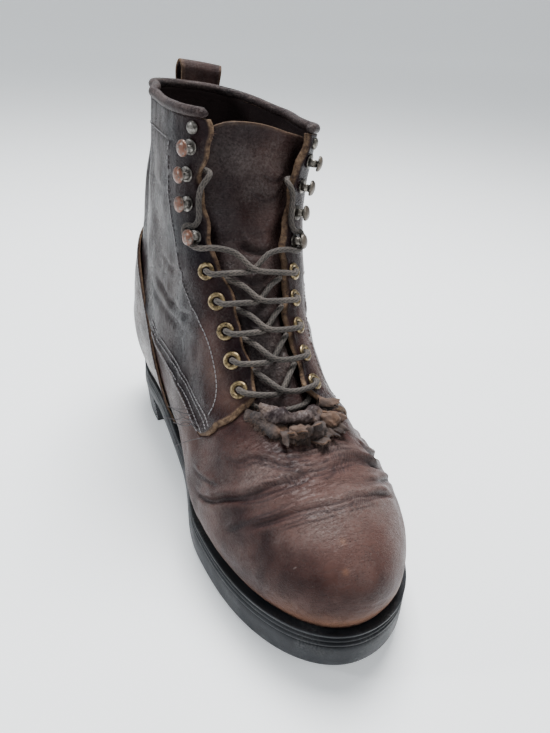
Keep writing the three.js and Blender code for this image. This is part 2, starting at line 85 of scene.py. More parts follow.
def bedRise(y):  # heel lift plus toe spring, above the forefoot
    reach = np.clip((last["springStart"] - y) / last["springReach"], 0, 1.2)
    return (last["heel"] - last["forefoot"]) * smooth(y, -10, 75) + last["toeSpring"] * reach ** 2


def bedHeight(y):  # forefoot thickness plus the rise
    return last["forefoot"] + bedRise(y)


def ovalQuarter(turn, power):  # superellipse quarter, across and along
    across = np.maximum(np.sin(turn * np.pi / 2), 0)
    along = np.maximum(np.cos(turn * np.pi / 2), 0)
    radius = (across ** power + along ** power) ** (-1 / power)
    return across * radius, along * radius


def sectionPoints(s, u):  # toe oval, straight-blended flank, heel oval
    u = u - np.floor(u)
    outer = u < .5
    half = np.where(outer, u, 1 - u)
    side = np.where(outer, 1.0, -1.0)
    front, back = s["front"], s["back"]
    width = {k: side * np.where(outer, s[k][0], s[k][1]) for k in ("ball", "waist", "heel")}
    ballY = mix(front[1], back[1], last["ballPlace"])
    heelY = mix(front[1], back[1], last["heelPlace"])
    turn = np.clip(half / last["toeShare"], 0, 1)
    across, along = ovalQuarter(turn, np.where(outer, s["power"][0], s["power"][1]))
    toe = [mix(front[0], width["ball"], across), mix(ballY, front[1], along),
           mix(front[2], s["ball"][2], np.sin(turn * np.pi / 2) ** 2)]
    way = np.clip((half - last["toeShare"]) / (last["heelShare"] - last["toeShare"]), 0, 1)
    first, second = smooth(way, 0, .5), smooth(way, .5, 1)
    flank = [mix(mix(width["ball"], width["waist"], first), width["heel"], second),
             mix(ballY, heelY, way),
             mix(mix(s["ball"][2], s["waist"][2], first), s["heel"][2], second)]
    turn = np.clip((.5 - half) / (.5 - last["heelShare"]), 0, 1)
    across, along = ovalQuarter(turn, last["heelPower"])
    heel = [mix(back[0], width["heel"], across), mix(heelY, back[1], along),
            mix(back[2], s["heel"][2], np.sin(turn * np.pi / 2) ** 2)]
    x, y, z = (np.where(half >= last["heelShare"], h, np.where(half >= last["toeShare"], f, t))
               for t, f, h in zip(toe, flank, heel))
    return np.stack([x, y, z + s["bed"] * bedRise(y) - s["lean"] * x / 45], -1)


def spline(a, b, c, d, t):  # Catmull-Rom from b to c
    m0, m1 = (c - a) / 2, (d - b) / 2
    return (2 * b - 2 * c + m0 + m1) * t ** 3 + (3 * c - 3 * b - 2 * m0 - m1) * t ** 2 + m0 * t + b


def boot(u, v):  # the sections joined by a smooth curve at each u, straight on above the collar
    u, v = np.broadcast_arrays(np.asarray(u, float), np.asarray(v, float))
    rings = np.stack([sectionPoints(s, u) for s in sections])
    rings = np.concatenate([2 * rings[:1] - rings[1:2], rings, 2 * rings[-1:] - rings[-2:-1]])
    level = np.clip(np.floor(v), 0, collarLevel - 1).astype(int)
    t = (v - level)[..., None]
    a, b, c, d = (np.take_along_axis(rings, (level + k)[None, ..., None], 0)[0] for k in range(4))
    return np.where(t > 1, c + (c - b) * (t - 1), spline(a, b, c, d, t))


def bootNormal(u, v, step=.002):  # cross product of a small step round and a small step up
    u, v = np.asarray(u, float), np.asarray(v, float)
    along = boot(u + step, v) - boot(u - step, v)
    up = boot(u, v + step) - boot(u, np.maximum(v - step, 0))
    return unit(np.cross(along, up))


def off(u, v, distance):  # a point off the form, outwards
    return boot(u, v) + bootNormal(u, v) * np.asarray(distance, float)[..., None]


def frontU(v, x):  # u on the front where x is reached, by halving
    low, high = np.full(np.shape(v), -last["toeShare"]), np.full(np.shape(v), last["toeShare"])
    for _ in range(30):
        middle = (low + high) / 2
        below = boot(middle, v)[..., 0] < x
        low, high = np.where(below, middle, low), np.where(below, high, middle)
    return (low + high) / 2


def edgeTable(edges):  # u of a facing edge at 121 levels, its x on a spline over the levels
    height = np.linspace(0, 3, 121)
    index = np.minimum(height.astype(int), 2)
    e = np.array(edges, float)
    x = spline(e[np.maximum(index - 1, 0)], e[index], e[index + 1], e[np.minimum(index + 2, 3)],
               height - index)
    return frontU(throatLevel + height, x)


edgeTables = {1: edgeTable(facings["outer"]), -1: edgeTable(facings["inner"])}
levelTable = np.linspace(throatLevel, collarLevel, 121)
heightTable = boot(np.zeros(121), levelTable)[:, 2]


def facingU(v, side):  # u of a facing's edge at v, read from its table
    return np.interp(v, levelTable, edgeTables[side])


def levelAt(height):  # v where the middle of the front reaches a height
    return np.interp(height, heightTable, levelTable)


def insetU(v, side, distance):  # u back from a facing's edge by a distance over the leather
    edge = facingU(v, side)
    perStep = np.linalg.norm(boot(edge + side * .004, v) - boot(edge, v), axis=-1)
    return edge + side * .004 * distance / perStep


def besideFacing(v, side, distance, height):
    # a point back from a facing's edge and off the form by a height
    return off(insetU(v, side, distance), v, height)


def soleEdge(u, ledge):  # the sole's outline moved out from the feather line
    run = sectionPoints(sections[0], u + .003) - sectionPoints(sections[0], u - .003)
    run[..., 2] = 0
    run = unit(run)
    out = np.stack([run[..., 1], -run[..., 0], np.zeros_like(u)], -1)
    return sectionPoints(sections[0], u) + out * ledge


outline = soleEdge(np.linspace(0, 1, 400), last["ledge"])
soleBox = np.array([list(corner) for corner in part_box("outsole")]) * 1000
frameShift = (soleBox[0] + soleBox[1]) / 2 - (outline.min(0) + outline.max(0)) / 2
frameShift[2] = 0


def inFrame(points):  # millimetres on the form to metres in the frame
    return (np.asarray(points, float) + frameShift) / 1000


def softNoise(points, size, seed):  # random heights on a cubic lattice, blended by smooth steps
    lattice = np.random.default_rng(seed).random((16, 16, 16)) * 2 - 1
    place = points / np.asarray(size, float)
    base = np.floor(place).astype(int)
    t = place - base
    t = t * t * (3 - 2 * t)
    total = np.zeros(points.shape[:-1])
    for corner in np.ndindex(2, 2, 2):
        i = (base + corner) % 16
        total += lattice[i[..., 0], i[..., 1], i[..., 2]] * np.prod(np.where(corner, t, 1 - t), -1)
    return total


def through(points, count):  # centripetal Catmull-Rom through points, then evenly spaced
    p = np.asarray(points, float)
    p = np.concatenate([2 * p[:1] - p[1:2], p, 2 * p[-1:] - p[-2:-1]])
    knots = np.concatenate([[0], np.cumsum(np.linalg.norm(np.diff(p, axis=0), axis=1) ** .5)])
    s = np.linspace(knots[1], knots[-2], count * 4)
    i = np.clip(np.searchsorted(knots, s, "right") - 1, 1, len(p) - 3)
    t = [knots[i + k] for k in (-1, 0, 1, 2)]
    q = [p[i + k] for k in (-1, 0, 1, 2)]

    def blend(a, b, ta, tb):  # a to b as s goes from ta to tb
        return a + (b - a) * ((s - ta) / (tb - ta))[:, None]
    low = [blend(q[k], q[k + 1], t[k], t[k + 1]) for k in range(3)]
    middle = [blend(low[k], low[k + 1], t[k], t[k + 2]) for k in range(2)]
    curve = blend(middle[0], middle[1], t[1], t[2])
    along = np.concatenate([[0], np.cumsum(np.linalg.norm(np.diff(curve, axis=0), axis=1))])
    even = np.linspace(0, along[-1], count)
    return np.stack([np.interp(even, along, curve[:, k]) for k in range(curve.shape[1])], -1)


def pathLength(path):  # sum of the steps
    return np.linalg.norm(np.diff(path, axis=0), axis=1).sum()


def gridQuads(ids, wrapColumns=False, wrapRows=False):  # faces look along column step x row step
    if wrapColumns:
        ids = np.concatenate([ids, ids[:, :1]], 1)
    if wrapRows:
        ids = np.concatenate([ids, ids[:1]], 0)
    return np.stack([ids[:-1, :-1], ids[:-1, 1:], ids[1:, 1:], ids[1:, :-1]], -1).reshape(-1, 4)


def grid(points, wrapColumns=False, wrapRows=False, **masks):
    # rows and columns of points as one sheet of quads
    rows, columns = points.shape[:2]
    ids = np.arange(rows * columns).reshape(rows, columns)
    return dict(points=points.reshape(-1, 3), quads=gridQuads(ids, wrapColumns, wrapRows),
                masks={k: np.broadcast_to(m, (rows, columns)).ravel() for k, m in masks.items()})


def shell(outer, inner, wraps=False, rim=4, bulge=.4, **masks):
    # a closed wall between two grids: both skins, and a rounded rim of rows between their edges
    rows, columns = outer.shape[:2]
    ids = np.arange(rows * columns).reshape(rows, columns)
    if wraps:
        loops = [(ids[0], ids[1]), (ids[-1][::-1], ids[-2][::-1])]
    else:
        walk = [ids[0, :-1], ids[:-1, -1], ids[-1, :0:-1], ids[:0:-1, 0]]
        near = [ids[1, :-1], ids[:-1, -2], ids[-2, :0:-1], ids[:0:-1, 1]]
        loops = [(np.concatenate(walk), np.concatenate(near))]
    top, under = outer.reshape(-1, 3), inner.reshape(-1, 3)
    points, count = [top, under], 2 * len(top)
    source = [np.arange(len(top)), np.arange(len(top))]
    raw = [np.zeros(len(top)), np.zeros(len(top))]
    quads = [gridQuads(ids, wraps), gridQuads(ids, wraps)[:, ::-1] + len(top)]
    for loop, near in loops:
        outwards = unit(top[loop] - top[near])
        layers = [loop]
        for k in range(1, rim):
            t = k / rim
            points.append(mix(top[loop], under[loop], t) + outwards * bulge * np.sin(np.pi * t))
            source.append(loop)
            raw.append(np.ones(len(loop)))
            layers.append(np.arange(count, count + len(loop)))
            count += len(loop)
        layers.append(loop + len(top))
        for a, b in zip(layers[:-1], layers[1:]):
            quads.append(np.stack([np.roll(a, -1), a, b, np.roll(b, -1)], -1))
    source, raw = np.concatenate(source), np.concatenate(raw)
    inside = np.zeros(count)
    inside[len(top):2 * len(top)] = 1
    made = {k: np.broadcast_to(m, (rows, columns)).ravel()[source] for k, m in masks.items()}
    made["raw"] = np.maximum(made.get("raw", 0) * (1 - inside), raw)
    made["inside"] = inside
    return dict(points=np.concatenate(points), quads=np.concatenate(quads), masks=made)


def joined(*shapes):  # several shapes as one, with the masks they share
    quads, count = [], 0
    for shape in shapes:
        quads.append(shape["quads"] + count)
        count += len(shape["points"])
    masks = {k: np.concatenate([s["masks"][k] for s in shapes]) for k in shapes[0]["masks"]}
    return dict(points=np.concatenate([s["points"] for s in shapes]),
                quads=np.concatenate(quads), masks=masks)


def frames(path):  # tangent, and a side direction carried along the path without twist
    tangent = unit(np.gradient(path, axis=0))
    side = np.cross(tangent[0], [0.3, 0.2, 0.9])
    sides = []
    for t in tangent:
        side = side - t * np.dot(t, side)
        side = side / np.linalg.norm(side)
        sides.append(side)
    sides = np.array(sides)
    return tangent, sides, np.cross(tangent, sides)


def tube(path, radius, sides=12, squash=1.0, **masks):
    # rings of a radius round a path, the other way by squash, closed to a point at both ends
    _, side, other = frames(path)
    radius = np.broadcast_to(np.asarray(radius, float), (len(path), sides))
    angle = np.linspace(0, 2 * np.pi, sides, endpoint=False)
    ring = (side[:, None] * np.cos(angle)[:, None] + other[:, None] * np.sin(angle)[:, None] * squash)
    rings = path[:, None] + ring * radius[..., None]
    ends = [np.repeat(path[k:k + 1, None], sides, 1) for k in (0, len(path) - 1)]
    rings = np.concatenate([ends[0], rings, ends[1]])
    full = {k: np.concatenate([np.broadcast_to(m, (len(path), sides))[[0]],
                               np.broadcast_to(m, (len(path), sides)),
                               np.broadcast_to(m, (len(path), sides))[[-1]]])
            for k, m in masks.items()}
    return grid(rings, wrapColumns=True, **full)


def turned(profile, segments, closed=False, **masks):
    # a profile of radius and height swung round +Z, from the foot outwards and up
    profile = np.asarray(profile, float)
    angle = np.linspace(0, 2 * np.pi, segments, endpoint=False)
    r, z = profile[:, 0, None], np.repeat(profile[:, 1, None], segments, 1)
    points = np.stack([r * np.cos(angle), r * np.sin(angle), z], -1)
    return grid(points, True, closed, **{k: np.asarray(m)[:, None] for k, m in masks.items()})


def placed(shape, u, v, distance):  # from +Z outwards at the origin onto the form
    normal = bootNormal(u, v)
    up = unit(boot(u, v + .05) - boot(u, v - .05))
    across = unit(np.cross(up, normal))
    axes = np.stack([across, np.cross(normal, across), normal])
    return dict(shape, points=shape["points"] @ axes + off(u, v, distance))


def spread(template, quads, places, axes):  # one small shape at many places, axes (n, 3, 3)
    points = np.einsum("mk,nkj->nmj", template, axes) + places[:, None]
    shift = np.arange(len(places))[:, None, None] * len(template)
    return dict(points=points.reshape(-1, 3), quads=(quads[None] + shift).reshape(-1, 4), masks={})


def makePiece(name, shape, material, nodes=(), weld=True):
    # a shape as a mesh in metres, its masks as attributes
    mesh = bpy.data.meshes.new(name)
    points, quads = inFrame(shape["points"]), shape["quads"]
    mesh.vertices.add(len(points))
    mesh.vertices.foreach_set("co", points.astype(np.float32).ravel())
    mesh.loops.add(quads.size)
    mesh.loops.foreach_set("vertex_index", quads.astype(np.int32).ravel())
    mesh.polygons.add(len(quads))
    mesh.polygons.foreach_set("loop_start", np.arange(len(quads), dtype=np.int32) * 4)
    mesh.update(calc_edges=True)
    for key, values in shape["masks"].items():
        layer = mesh.attributes.new(key, "FLOAT", "POINT")
        layer.data.foreach_set("value", np.asarray(values, np.float32))
    if weld:  # closes seams and poles
        work = bmesh.new()
        work.from_mesh(mesh)
        bmesh.ops.remove_doubles(work, verts=work.verts, dist=1e-6)
        work.to_mesh(mesh)
        work.free()
    mesh.polygons.foreach_set("use_smooth", np.ones(len(mesh.polygons), bool))
    mesh.materials.append(material)
    piece = bpy.data.objects.new(name, mesh)
    bpy.context.scene.collection.objects.link(piece)
    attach(piece, "root")
    if nodes:
        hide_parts(*nodes)
    return piece


def addNode(tree, kind, inputs=None, **settings):  # a node with its sockets linked or set
    node = tree.nodes.new(kind)
    for key, value in settings.items():
        setattr(node, key, value)
    for key, value in (inputs or {}).items():
        if isinstance(value, bpy.types.NodeSocket):
            tree.links.new(value, node.inputs[key])
        else:
            node.inputs[key].default_value = value
    return node


def blend(tree, factor, a, b, how="MIX"):  # colours a to b by a mask
    node = addNode(tree, "ShaderNodeMix", {0: factor}, data_type="RGBA", blend_type=how)
    for index, value in ((6, a), (7, b)):
        if isinstance(value, bpy.types.NodeSocket):
            tree.links.new(value, node.inputs[index])
        else:
            node.inputs[index].default_value = (*value, 1)
    return node.outputs[2]


def maths(tree, how, *values):  # one math node
    node = addNode(tree, "ShaderNodeMath", dict(enumerate(values)), operation=how)
    return node.outputs[0]


def mask(tree, name):  # an attribute of the mesh as a value
    return addNode(tree, "ShaderNodeAttribute", attribute_name=name).outputs["Fac"]


def ranged(tree, value, low, high, to=(0, 1)):  # a value moved from low and high to another range
    inputs = {"Value": value, "From Min": low, "From Max": high, "To Min": to[0], "To Max": to[1]}
    return addNode(tree, "ShaderNodeMapRange", inputs).outputs["Result"]


def noise(tree, coords, scale, detail=3, rough=.55, stretch=None):
    # fractal noise on the coordinates, stretched if asked
    if stretch:
        coords = addNode(tree, "ShaderNodeMapping", {"Vector": coords, "Scale": stretch}).outputs[0]
    inputs = {"Vector": coords, "Scale": scale, "Detail": detail, "Roughness": rough}
    return addNode(tree, "ShaderNodeTexNoise", inputs).outputs["Fac"]


def newGroup(name, inputs, outputs):  # an empty node group with named sockets
    group = bpy.data.node_groups.new(name, "ShaderNodeTree")
    for key, kind, value in inputs:
        socket = group.interface.new_socket(name=key, in_out="INPUT", socket_type=kind)
        if value is not None:
            socket.default_value = value
    for key, kind in outputs:
        group.interface.new_socket(name=key, in_out="OUTPUT", socket_type=kind)
    return group, group.nodes.new("NodeGroupInput"), group.nodes.new("NodeGroupOutput")


def makeGrainGroup():  # pebbled hide: cells with soft valleys, pores and stretched hairline cracks
    group, given, out = newGroup(
        "hideGrain",
        [("Coords", "NodeSocketVector", None), ("Cells", "NodeSocketFloat", 620),
         ("Cracks", "NodeSocketFloat", .5)],
        [("Height", "NodeSocketFloat"), ("Wear", "NodeSocketFloat"), ("Pores", "NodeSocketFloat"),
         ("Speckle", "NodeSocketFloat")])
    coords = given.outputs["Coords"]
    dots = addNode(group, "ShaderNodeTexVoronoi", {"Vector": coords, "Scale": 760}).outputs["Distance"]
    patches = ranged(group, noise(group, coords, 60, 3), .42, .6)
    group.links.new(maths(group, "MULTIPLY", ranged(group, dots, .26, .12), patches), out.inputs["Pores"])
    group.links.new(ranged(group, noise(group, coords, 700, 4, .7), .4, .62), out.inputs["Speckle"])
    cells = addNode(group, "ShaderNodeTexVoronoi", {"Vector": coords, "Scale": given.outputs["Cells"]},
                    feature="SMOOTH_F1").outputs["Distance"]
    pores = noise(group, coords, 2600, 2)
    cracks = noise(group, coords, 95, 5, .7, stretch=(1, 2.6, 2.6))
    ridge = maths(group, "ABSOLUTE", maths(group, "SUBTRACT", cracks, .5))
    valley = ranged(group, ridge, 0, .035)
    height = maths(group, "ADD", maths(group, "MULTIPLY", cells, -.5),
                   maths(group, "MULTIPLY", pores, .35))
    cut = maths(group, "MULTIPLY", valley, given.outputs["Cracks"])
    group.links.new(maths(group, "ADD", height, cut), out.inputs["Height"])
    group.links.new(ranged(group, noise(group, coords, 38, 6, .65), .42, .68), out.inputs["Wear"])
    return group


def makeScuffGroup():  # thin scratches in two directions and rubbed patches
    group, given, out = newGroup(
        "scuffs", [("Coords", "NodeSocketVector", None), ("Amount", "NodeSocketFloat", .5)],
        [("Mask", "NodeSocketFloat"), ("Height", "NodeSocketFloat")])
    coords = given.outputs["Coords"]
    lines = []
    for turn, scale in (((.3, .2, .5), 60), ((1.1, .4, -.7), 45)):
        turnedCoords = addNode(group, "ShaderNodeMapping", {"Vector": coords, "Rotation": turn}).outputs[0]
        fine = noise(group, turnedCoords, scale, 2, .5, stretch=(1, 14, 14))
        lines.append(ranged(group, fine, .72, .76))
    patches = ranged(group, noise(group, coords, 30, 4, .6), .5, .62)
    both = maths(group, "MULTIPLY", maths(group, "MAXIMUM", *lines), patches)
    group.links.new(maths(group, "MULTIPLY", both, given.outputs["Amount"]), out.inputs["Mask"])
    group.links.new(maths(group, "MULTIPLY", both, -1.0), out.inputs["Height"])
    return group


def makeDustGroup():  # pale dust that gathers in patches, as a mask
    group, given, out = newGroup(
        "dust", [("Coords", "NodeSocketVector", None), ("Scale", "NodeSocketFloat", 24),
                 ("Amount", "NodeSocketFloat", .3)], [("Mask", "NodeSocketFloat")])
    cloud = addNode(group, "ShaderNodeTexNoise", {"Vector": given.outputs["Coords"],
                    "Scale": given.outputs["Scale"], "Detail": 6, "Roughness": .7}).outputs["Fac"]
    speck = noise(group, given.outputs["Coords"], 900, 2)
    patch = maths(group, "MULTIPLY", ranged(group, cloud, .45, .75), ranged(group, speck, .35, .7))
    group.links.new(maths(group, "MULTIPLY", patch, given.outputs["Amount"]), out.inputs["Mask"])
    return group


grainGroup = makeGrainGroup()
scuffGroup = makeScuffGroup()
dustGroup = makeDustGroup()


def newMaterial(name, rough, **sockets):  # a principled shader with fixed sockets
    material = bpy.data.materials.new(name)
    material.use_nodes = True
    shader = material.node_tree.nodes["Principled BSDF"]
    shader.inputs["Roughness"].default_value = rough
    for key, value in sockets.items():
        shader.inputs[key.replace("_", " ")].default_value = value
    coords = material.node_tree.nodes.new("ShaderNodeTexCoord").outputs["Object"]
    return material, material.node_tree, shader, coords


def useGroup(tree, group, **inputs):  # a node group placed in a material
    node = tree.nodes.new("ShaderNodeGroup")
    node.node_tree = group
    for key, value in inputs.items():
        if isinstance(value, bpy.types.NodeSocket):
            tree.links.new(value, node.inputs[key])
        else:
            node.inputs[key].default_value = value
    return node.outputs


def ramp(tree, value, stops):  # colours along a value
    node = tree.nodes.new("ShaderNodeValToRGB")
    tree.links.new(value, node.inputs[0])
    while len(node.color_ramp.elements) < len(stops):
        node.color_ramp.elements.new(.5)
    for element, (place, colour) in zip(node.color_ramp.elements, stops):
        element.position = place
        element.color = (*colour, 1)
    return node.outputs["Color"]


def bumped(tree, shader, height, strength, distance):  # relief from a height
    bump = addNode(tree, "ShaderNodeBump", {"Height": height, "Strength": strength,
                                            "Distance": distance})
    tree.links.new(bump.outputs["Normal"], shader.inputs["Normal"])


hide = dict(  # colours of the worn hide, dark to pale
    navy=(.0035, .0035, .006), oxblood=(.016, .006, .006), rose=(.077, .040, .034),
    haze=(.165, .135, .125), rust=(.165, .085, .055), raw=(.125, .080, .050),
    flesh=(.020, .013, .013), dust=(.20, .18, .165), rough=.40, coat=.04, gloss=.08)


def makeLeather(name, rough=hide["rough"], coat=hide["coat"], cells=620, cracks=.5, scuffs=.5,
                inside=hide["flesh"]):
    # tone picks the hide colour, then haze, rust, painted shade in creases and wrinkle lines, pores, scuffs,
    # dust and raw edges go over
    material, tree, shader, coords = newMaterial(name, rough, Coat_Weight=coat, Coat_Roughness=.25,
                                                 Specular_IOR_Level=hide["gloss"])
    grain = useGroup(tree, grainGroup, Coords=coords, Cells=cells, Cracks=cracks)
    scuff = useGroup(tree, scuffGroup, Coords=coords, Amount=scuffs)
    dust = useGroup(tree, dustGroup, Coords=coords, Amount=.25)
    cloud = ranged(tree, noise(tree, coords, 22, 5, .6), .3, .7, (-.16, .16))
    tone = maths(tree, "ADD", mask(tree, "tone"), cloud)
    colour = ramp(tree, tone, [(0, hide["navy"]), (.42, hide["oxblood"]), (.85, hide["rose"])])
    wear = maths(tree, "MULTIPLY", grain["Wear"], .35)
    speckled = maths(tree, "ADD", wear, maths(tree, "MULTIPLY", grain["Speckle"], .9))
    pale = maths(tree, "MULTIPLY", mask(tree, "pale"), maths(tree, "ADD", speckled, .25))
    colour = blend(tree, pale, colour, hide["haze"])
    colour = blend(tree, maths(tree, "MULTIPLY", mask(tree, "rust"),
                               maths(tree, "ADD", wear, .7)), colour, hide["rust"])
    # painted shade in the fold troughs
    colour = blend(tree, mask(tree, "crease"), colour, (.014, .009, .011))
    colour = blend(tree, maths(tree, "MULTIPLY", grain["Pores"], .75), colour, (.010, .007, .008))
    waves = noise(tree, coords, 50, 4, .6, stretch=(1, 4.2, 4.2))  # fine lines across the boot
    line = ranged(tree, maths(tree, "ABSOLUTE", maths(tree, "SUBTRACT", waves, .5)), .035, 0)
    wrinkle = maths(tree, "MULTIPLY", line, mask(tree, "fold"))
    # the fine wrinkle lines are darkened as painted shade
    colour = blend(tree, maths(tree, "MULTIPLY", wrinkle, .7), colour, (.008, .005, .006))
    colour = blend(tree, scuff["Mask"], colour, hide["haze"])
    colour = blend(tree, dust["Mask"], colour, hide["dust"])
    fibre = noise(tree, coords, 420, 4, .7)
    rawColour = ramp(tree, fibre, [(.34, (.040, .024, .018)), (.56, hide["raw"]), (.8, (.25, .175, .115))])
    colour = blend(tree, mask(tree, "inside"), colour, inside)
    colour = blend(tree, mask(tree, "raw"), colour, rawColour)
    tree.links.new(colour, shader.inputs["Base Color"])
    roughness = maths(tree, "ADD", ranged(tree, grain["Wear"], 0, 1, (rough - .06, rough + .12)),
                      maths(tree, "MULTIPLY", maths(tree, "MAXIMUM", mask(tree, "raw"),
                                                    mask(tree, "inside")), .4))
    tree.links.new(roughness, shader.inputs["Roughness"])
    height = maths(tree, "ADD", grain["Height"], maths(tree, "MULTIPLY", scuff["Height"], .6))
    height = maths(tree, "SUBTRACT", height, maths(tree, "MULTIPLY", wrinkle, 2.2))
    height = maths(tree, "ADD", height, maths(tree, "MULTIPLY", maths(tree, "MULTIPLY", fibre,
                                              mask(tree, "raw")), 3.0))
    bumped(tree, shader, height, .62, .00045)
    return material


def makeRubber():  # dull black with scuffs and dust over it
    material, tree, shader, coords = newMaterial("soleRubber", .5, Specular_IOR_Level=.3)
    scuff = useGroup(tree, scuffGroup, Coords=coords, Amount=.6)
    dust = useGroup(tree, dustGroup, Coords=coords, Amount=.55, Scale=30)
    base = ramp(tree, noise(tree, coords, 45, 5, .65), [(.3, (.006, .007, .009)), (.75, (.018, .020, .025))])
    colour = blend(tree, scuff["Mask"], base, (.16, .17, .18))
    colour = blend(tree, dust["Mask"], colour, (.13, .13, .13))
    tree.links.new(colour, shader.inputs["Base Color"])
    tree.links.new(ranged(tree, noise(tree, coords, 70, 4), .3, .7, (.42, .62)), shader.inputs["Roughness"])
    height = maths(tree, "ADD", noise(tree, coords, 1500, 3), scuff["Height"])
    bumped(tree, shader, height, .4, .0003)
    return material


def makeMetal(name, bright, dark, rough, crownColour=None):
    # tarnish blends dark into bright, and noise wears the coating of the crown
    material, tree, shader, coords = newMaterial(name, rough, Metallic=.9)
    tarnish = ranged(tree, noise(tree, coords, 420, 5, .7), .38, .62)
    colour = blend(tree, tarnish, dark, bright)
    if crownColour:  # the crown keeps its coating, worn through in spots
        kept = maths(tree, "MULTIPLY", mask(tree, "crown"),
                     ranged(tree, noise(tree, coords, 650, 4, .6), .36, .5))
        colour = blend(tree, kept, colour, crownColour)
        tree.links.new(ranged(tree, kept, 0, 1, (.95, .25)), shader.inputs["Metallic"])
    tree.links.new(colour, shader.inputs["Base Color"])
    tree.links.new(ranged(tree, tarnish, 0, 1, (rough + .2, rough)), shader.inputs["Roughness"])
    bumped(tree, shader, noise(tree, coords, 1200, 4), .25, .0003)
    return material


def makeThread(name, low, high, rough=.8):  # twisted or braided yarn: strand mask and fibre noise
    material, tree, shader, coords = newMaterial(name, rough, Sheen_Weight=.05)
    fibre = noise(tree, coords, 2400, 3, .7)
    # a low strand mask picks the dark colour; on the lace this is painted shade between the strands
    strand = maths(tree, "MULTIPLY", mask(tree, "strand"), ranged(tree, fibre, .2, .8, (.65, 1.1)))
    tree.links.new(ramp(tree, strand, [(.1, low), (.9, high)]), shader.inputs["Base Color"])
    bumped(tree, shader, fibre, .5, .0003)
    return material


def makeFluff():  # torn nap and fibres
    material, tree, shader, coords = newMaterial("tornNap", .85, Sheen_Weight=.06)
    colour = ramp(tree, noise(tree, coords, 260, 5, .7),
                  [(.28, (.012, .008, .008)), (.5, (.036, .023, .019)), (.74, (.100, .072, .060))])
    colour = blend(tree, mask(tree, "rust"), colour, (.19, .095, .048))
    colour = blend(tree, mask(tree, "dark"), colour, (.008, .006, .007))
    tree.links.new(colour, shader.inputs["Base Color"])
    bumped(tree, shader, noise(tree, coords, 700, 6, .75), .9, .0008)
    return material


leatherVamp = makeLeather("vampLeather", rough=.38, coat=.02, cracks=.55, scuffs=.5)
leatherShaft = makeLeather("shaftLeather", rough=.29, coat=.02, cells=680, cracks=.3, scuffs=.3)
leatherTongue = makeLeather("tongueLeather", rough=.27, coat=.04, cells=820, cracks=.15, scuffs=.2)
leatherTrim = makeLeather("trimLeather", rough=.46, coat=.02, cells=900, cracks=.6, scuffs=.4)
rubber = makeRubber()
brass = makeMetal("agedBrass", (.36, .27, .14), (.06, .044, .026), .28)
hookCopper = makeMetal("hookCopper", (.24, .225, .205), (.05, .045, .04), .32, crownColour=(.125, .048, .026))
hookBronze = makeMetal("hookBronze", (.24, .22, .19), (.05, .045, .04), .30, crownColour=(.10, .08, .062))
laceYarn = makeThread("laceYarn", (.006, .005, .0045), (.120, .098, .082))
seamThread = makeThread("seamThread", (.07, .065, .068), (.26, .25, .255))
tornNap = makeFluff()
print("materials ready")

shot = dict(stand=(-153.7, -329.1, 290.8), aim=(1.5, -25.5, 104.0), lens=33.2, roll=-.0753)


def makeCamera():  # looks from stand to aim, then rolls about that line
    camera = bpy.data.objects.new("camera", bpy.data.cameras.new("camera"))
    bpy.context.scene.collection.objects.link(camera)
    stand, aim = Vector(inFrame(shot["stand"])), Vector(inFrame(shot["aim"]))
    camera.data.lens, camera.data.sensor_width = shot["lens"], 36
    camera.location = stand
    camera.rotation_mode = "QUATERNION"
    roll = Quaternion((aim - stand).normalized(), shot["roll"])
    camera.rotation_quaternion = roll @ (aim - stand).to_track_quat("-Z", "Y")
    bpy.context.scene.camera = camera


fixings = dict(eyelets=(100, 113, 126.5, 140, 153.5), hooks=(169, 185, 200.5, 215), rivet=225,
               inset=9.5, lift=.65)
lacing = dict(radius=1.62, strands=6, plait=3.1, depth=.13, sides=24, step=.55, sag=.06, soften=9)


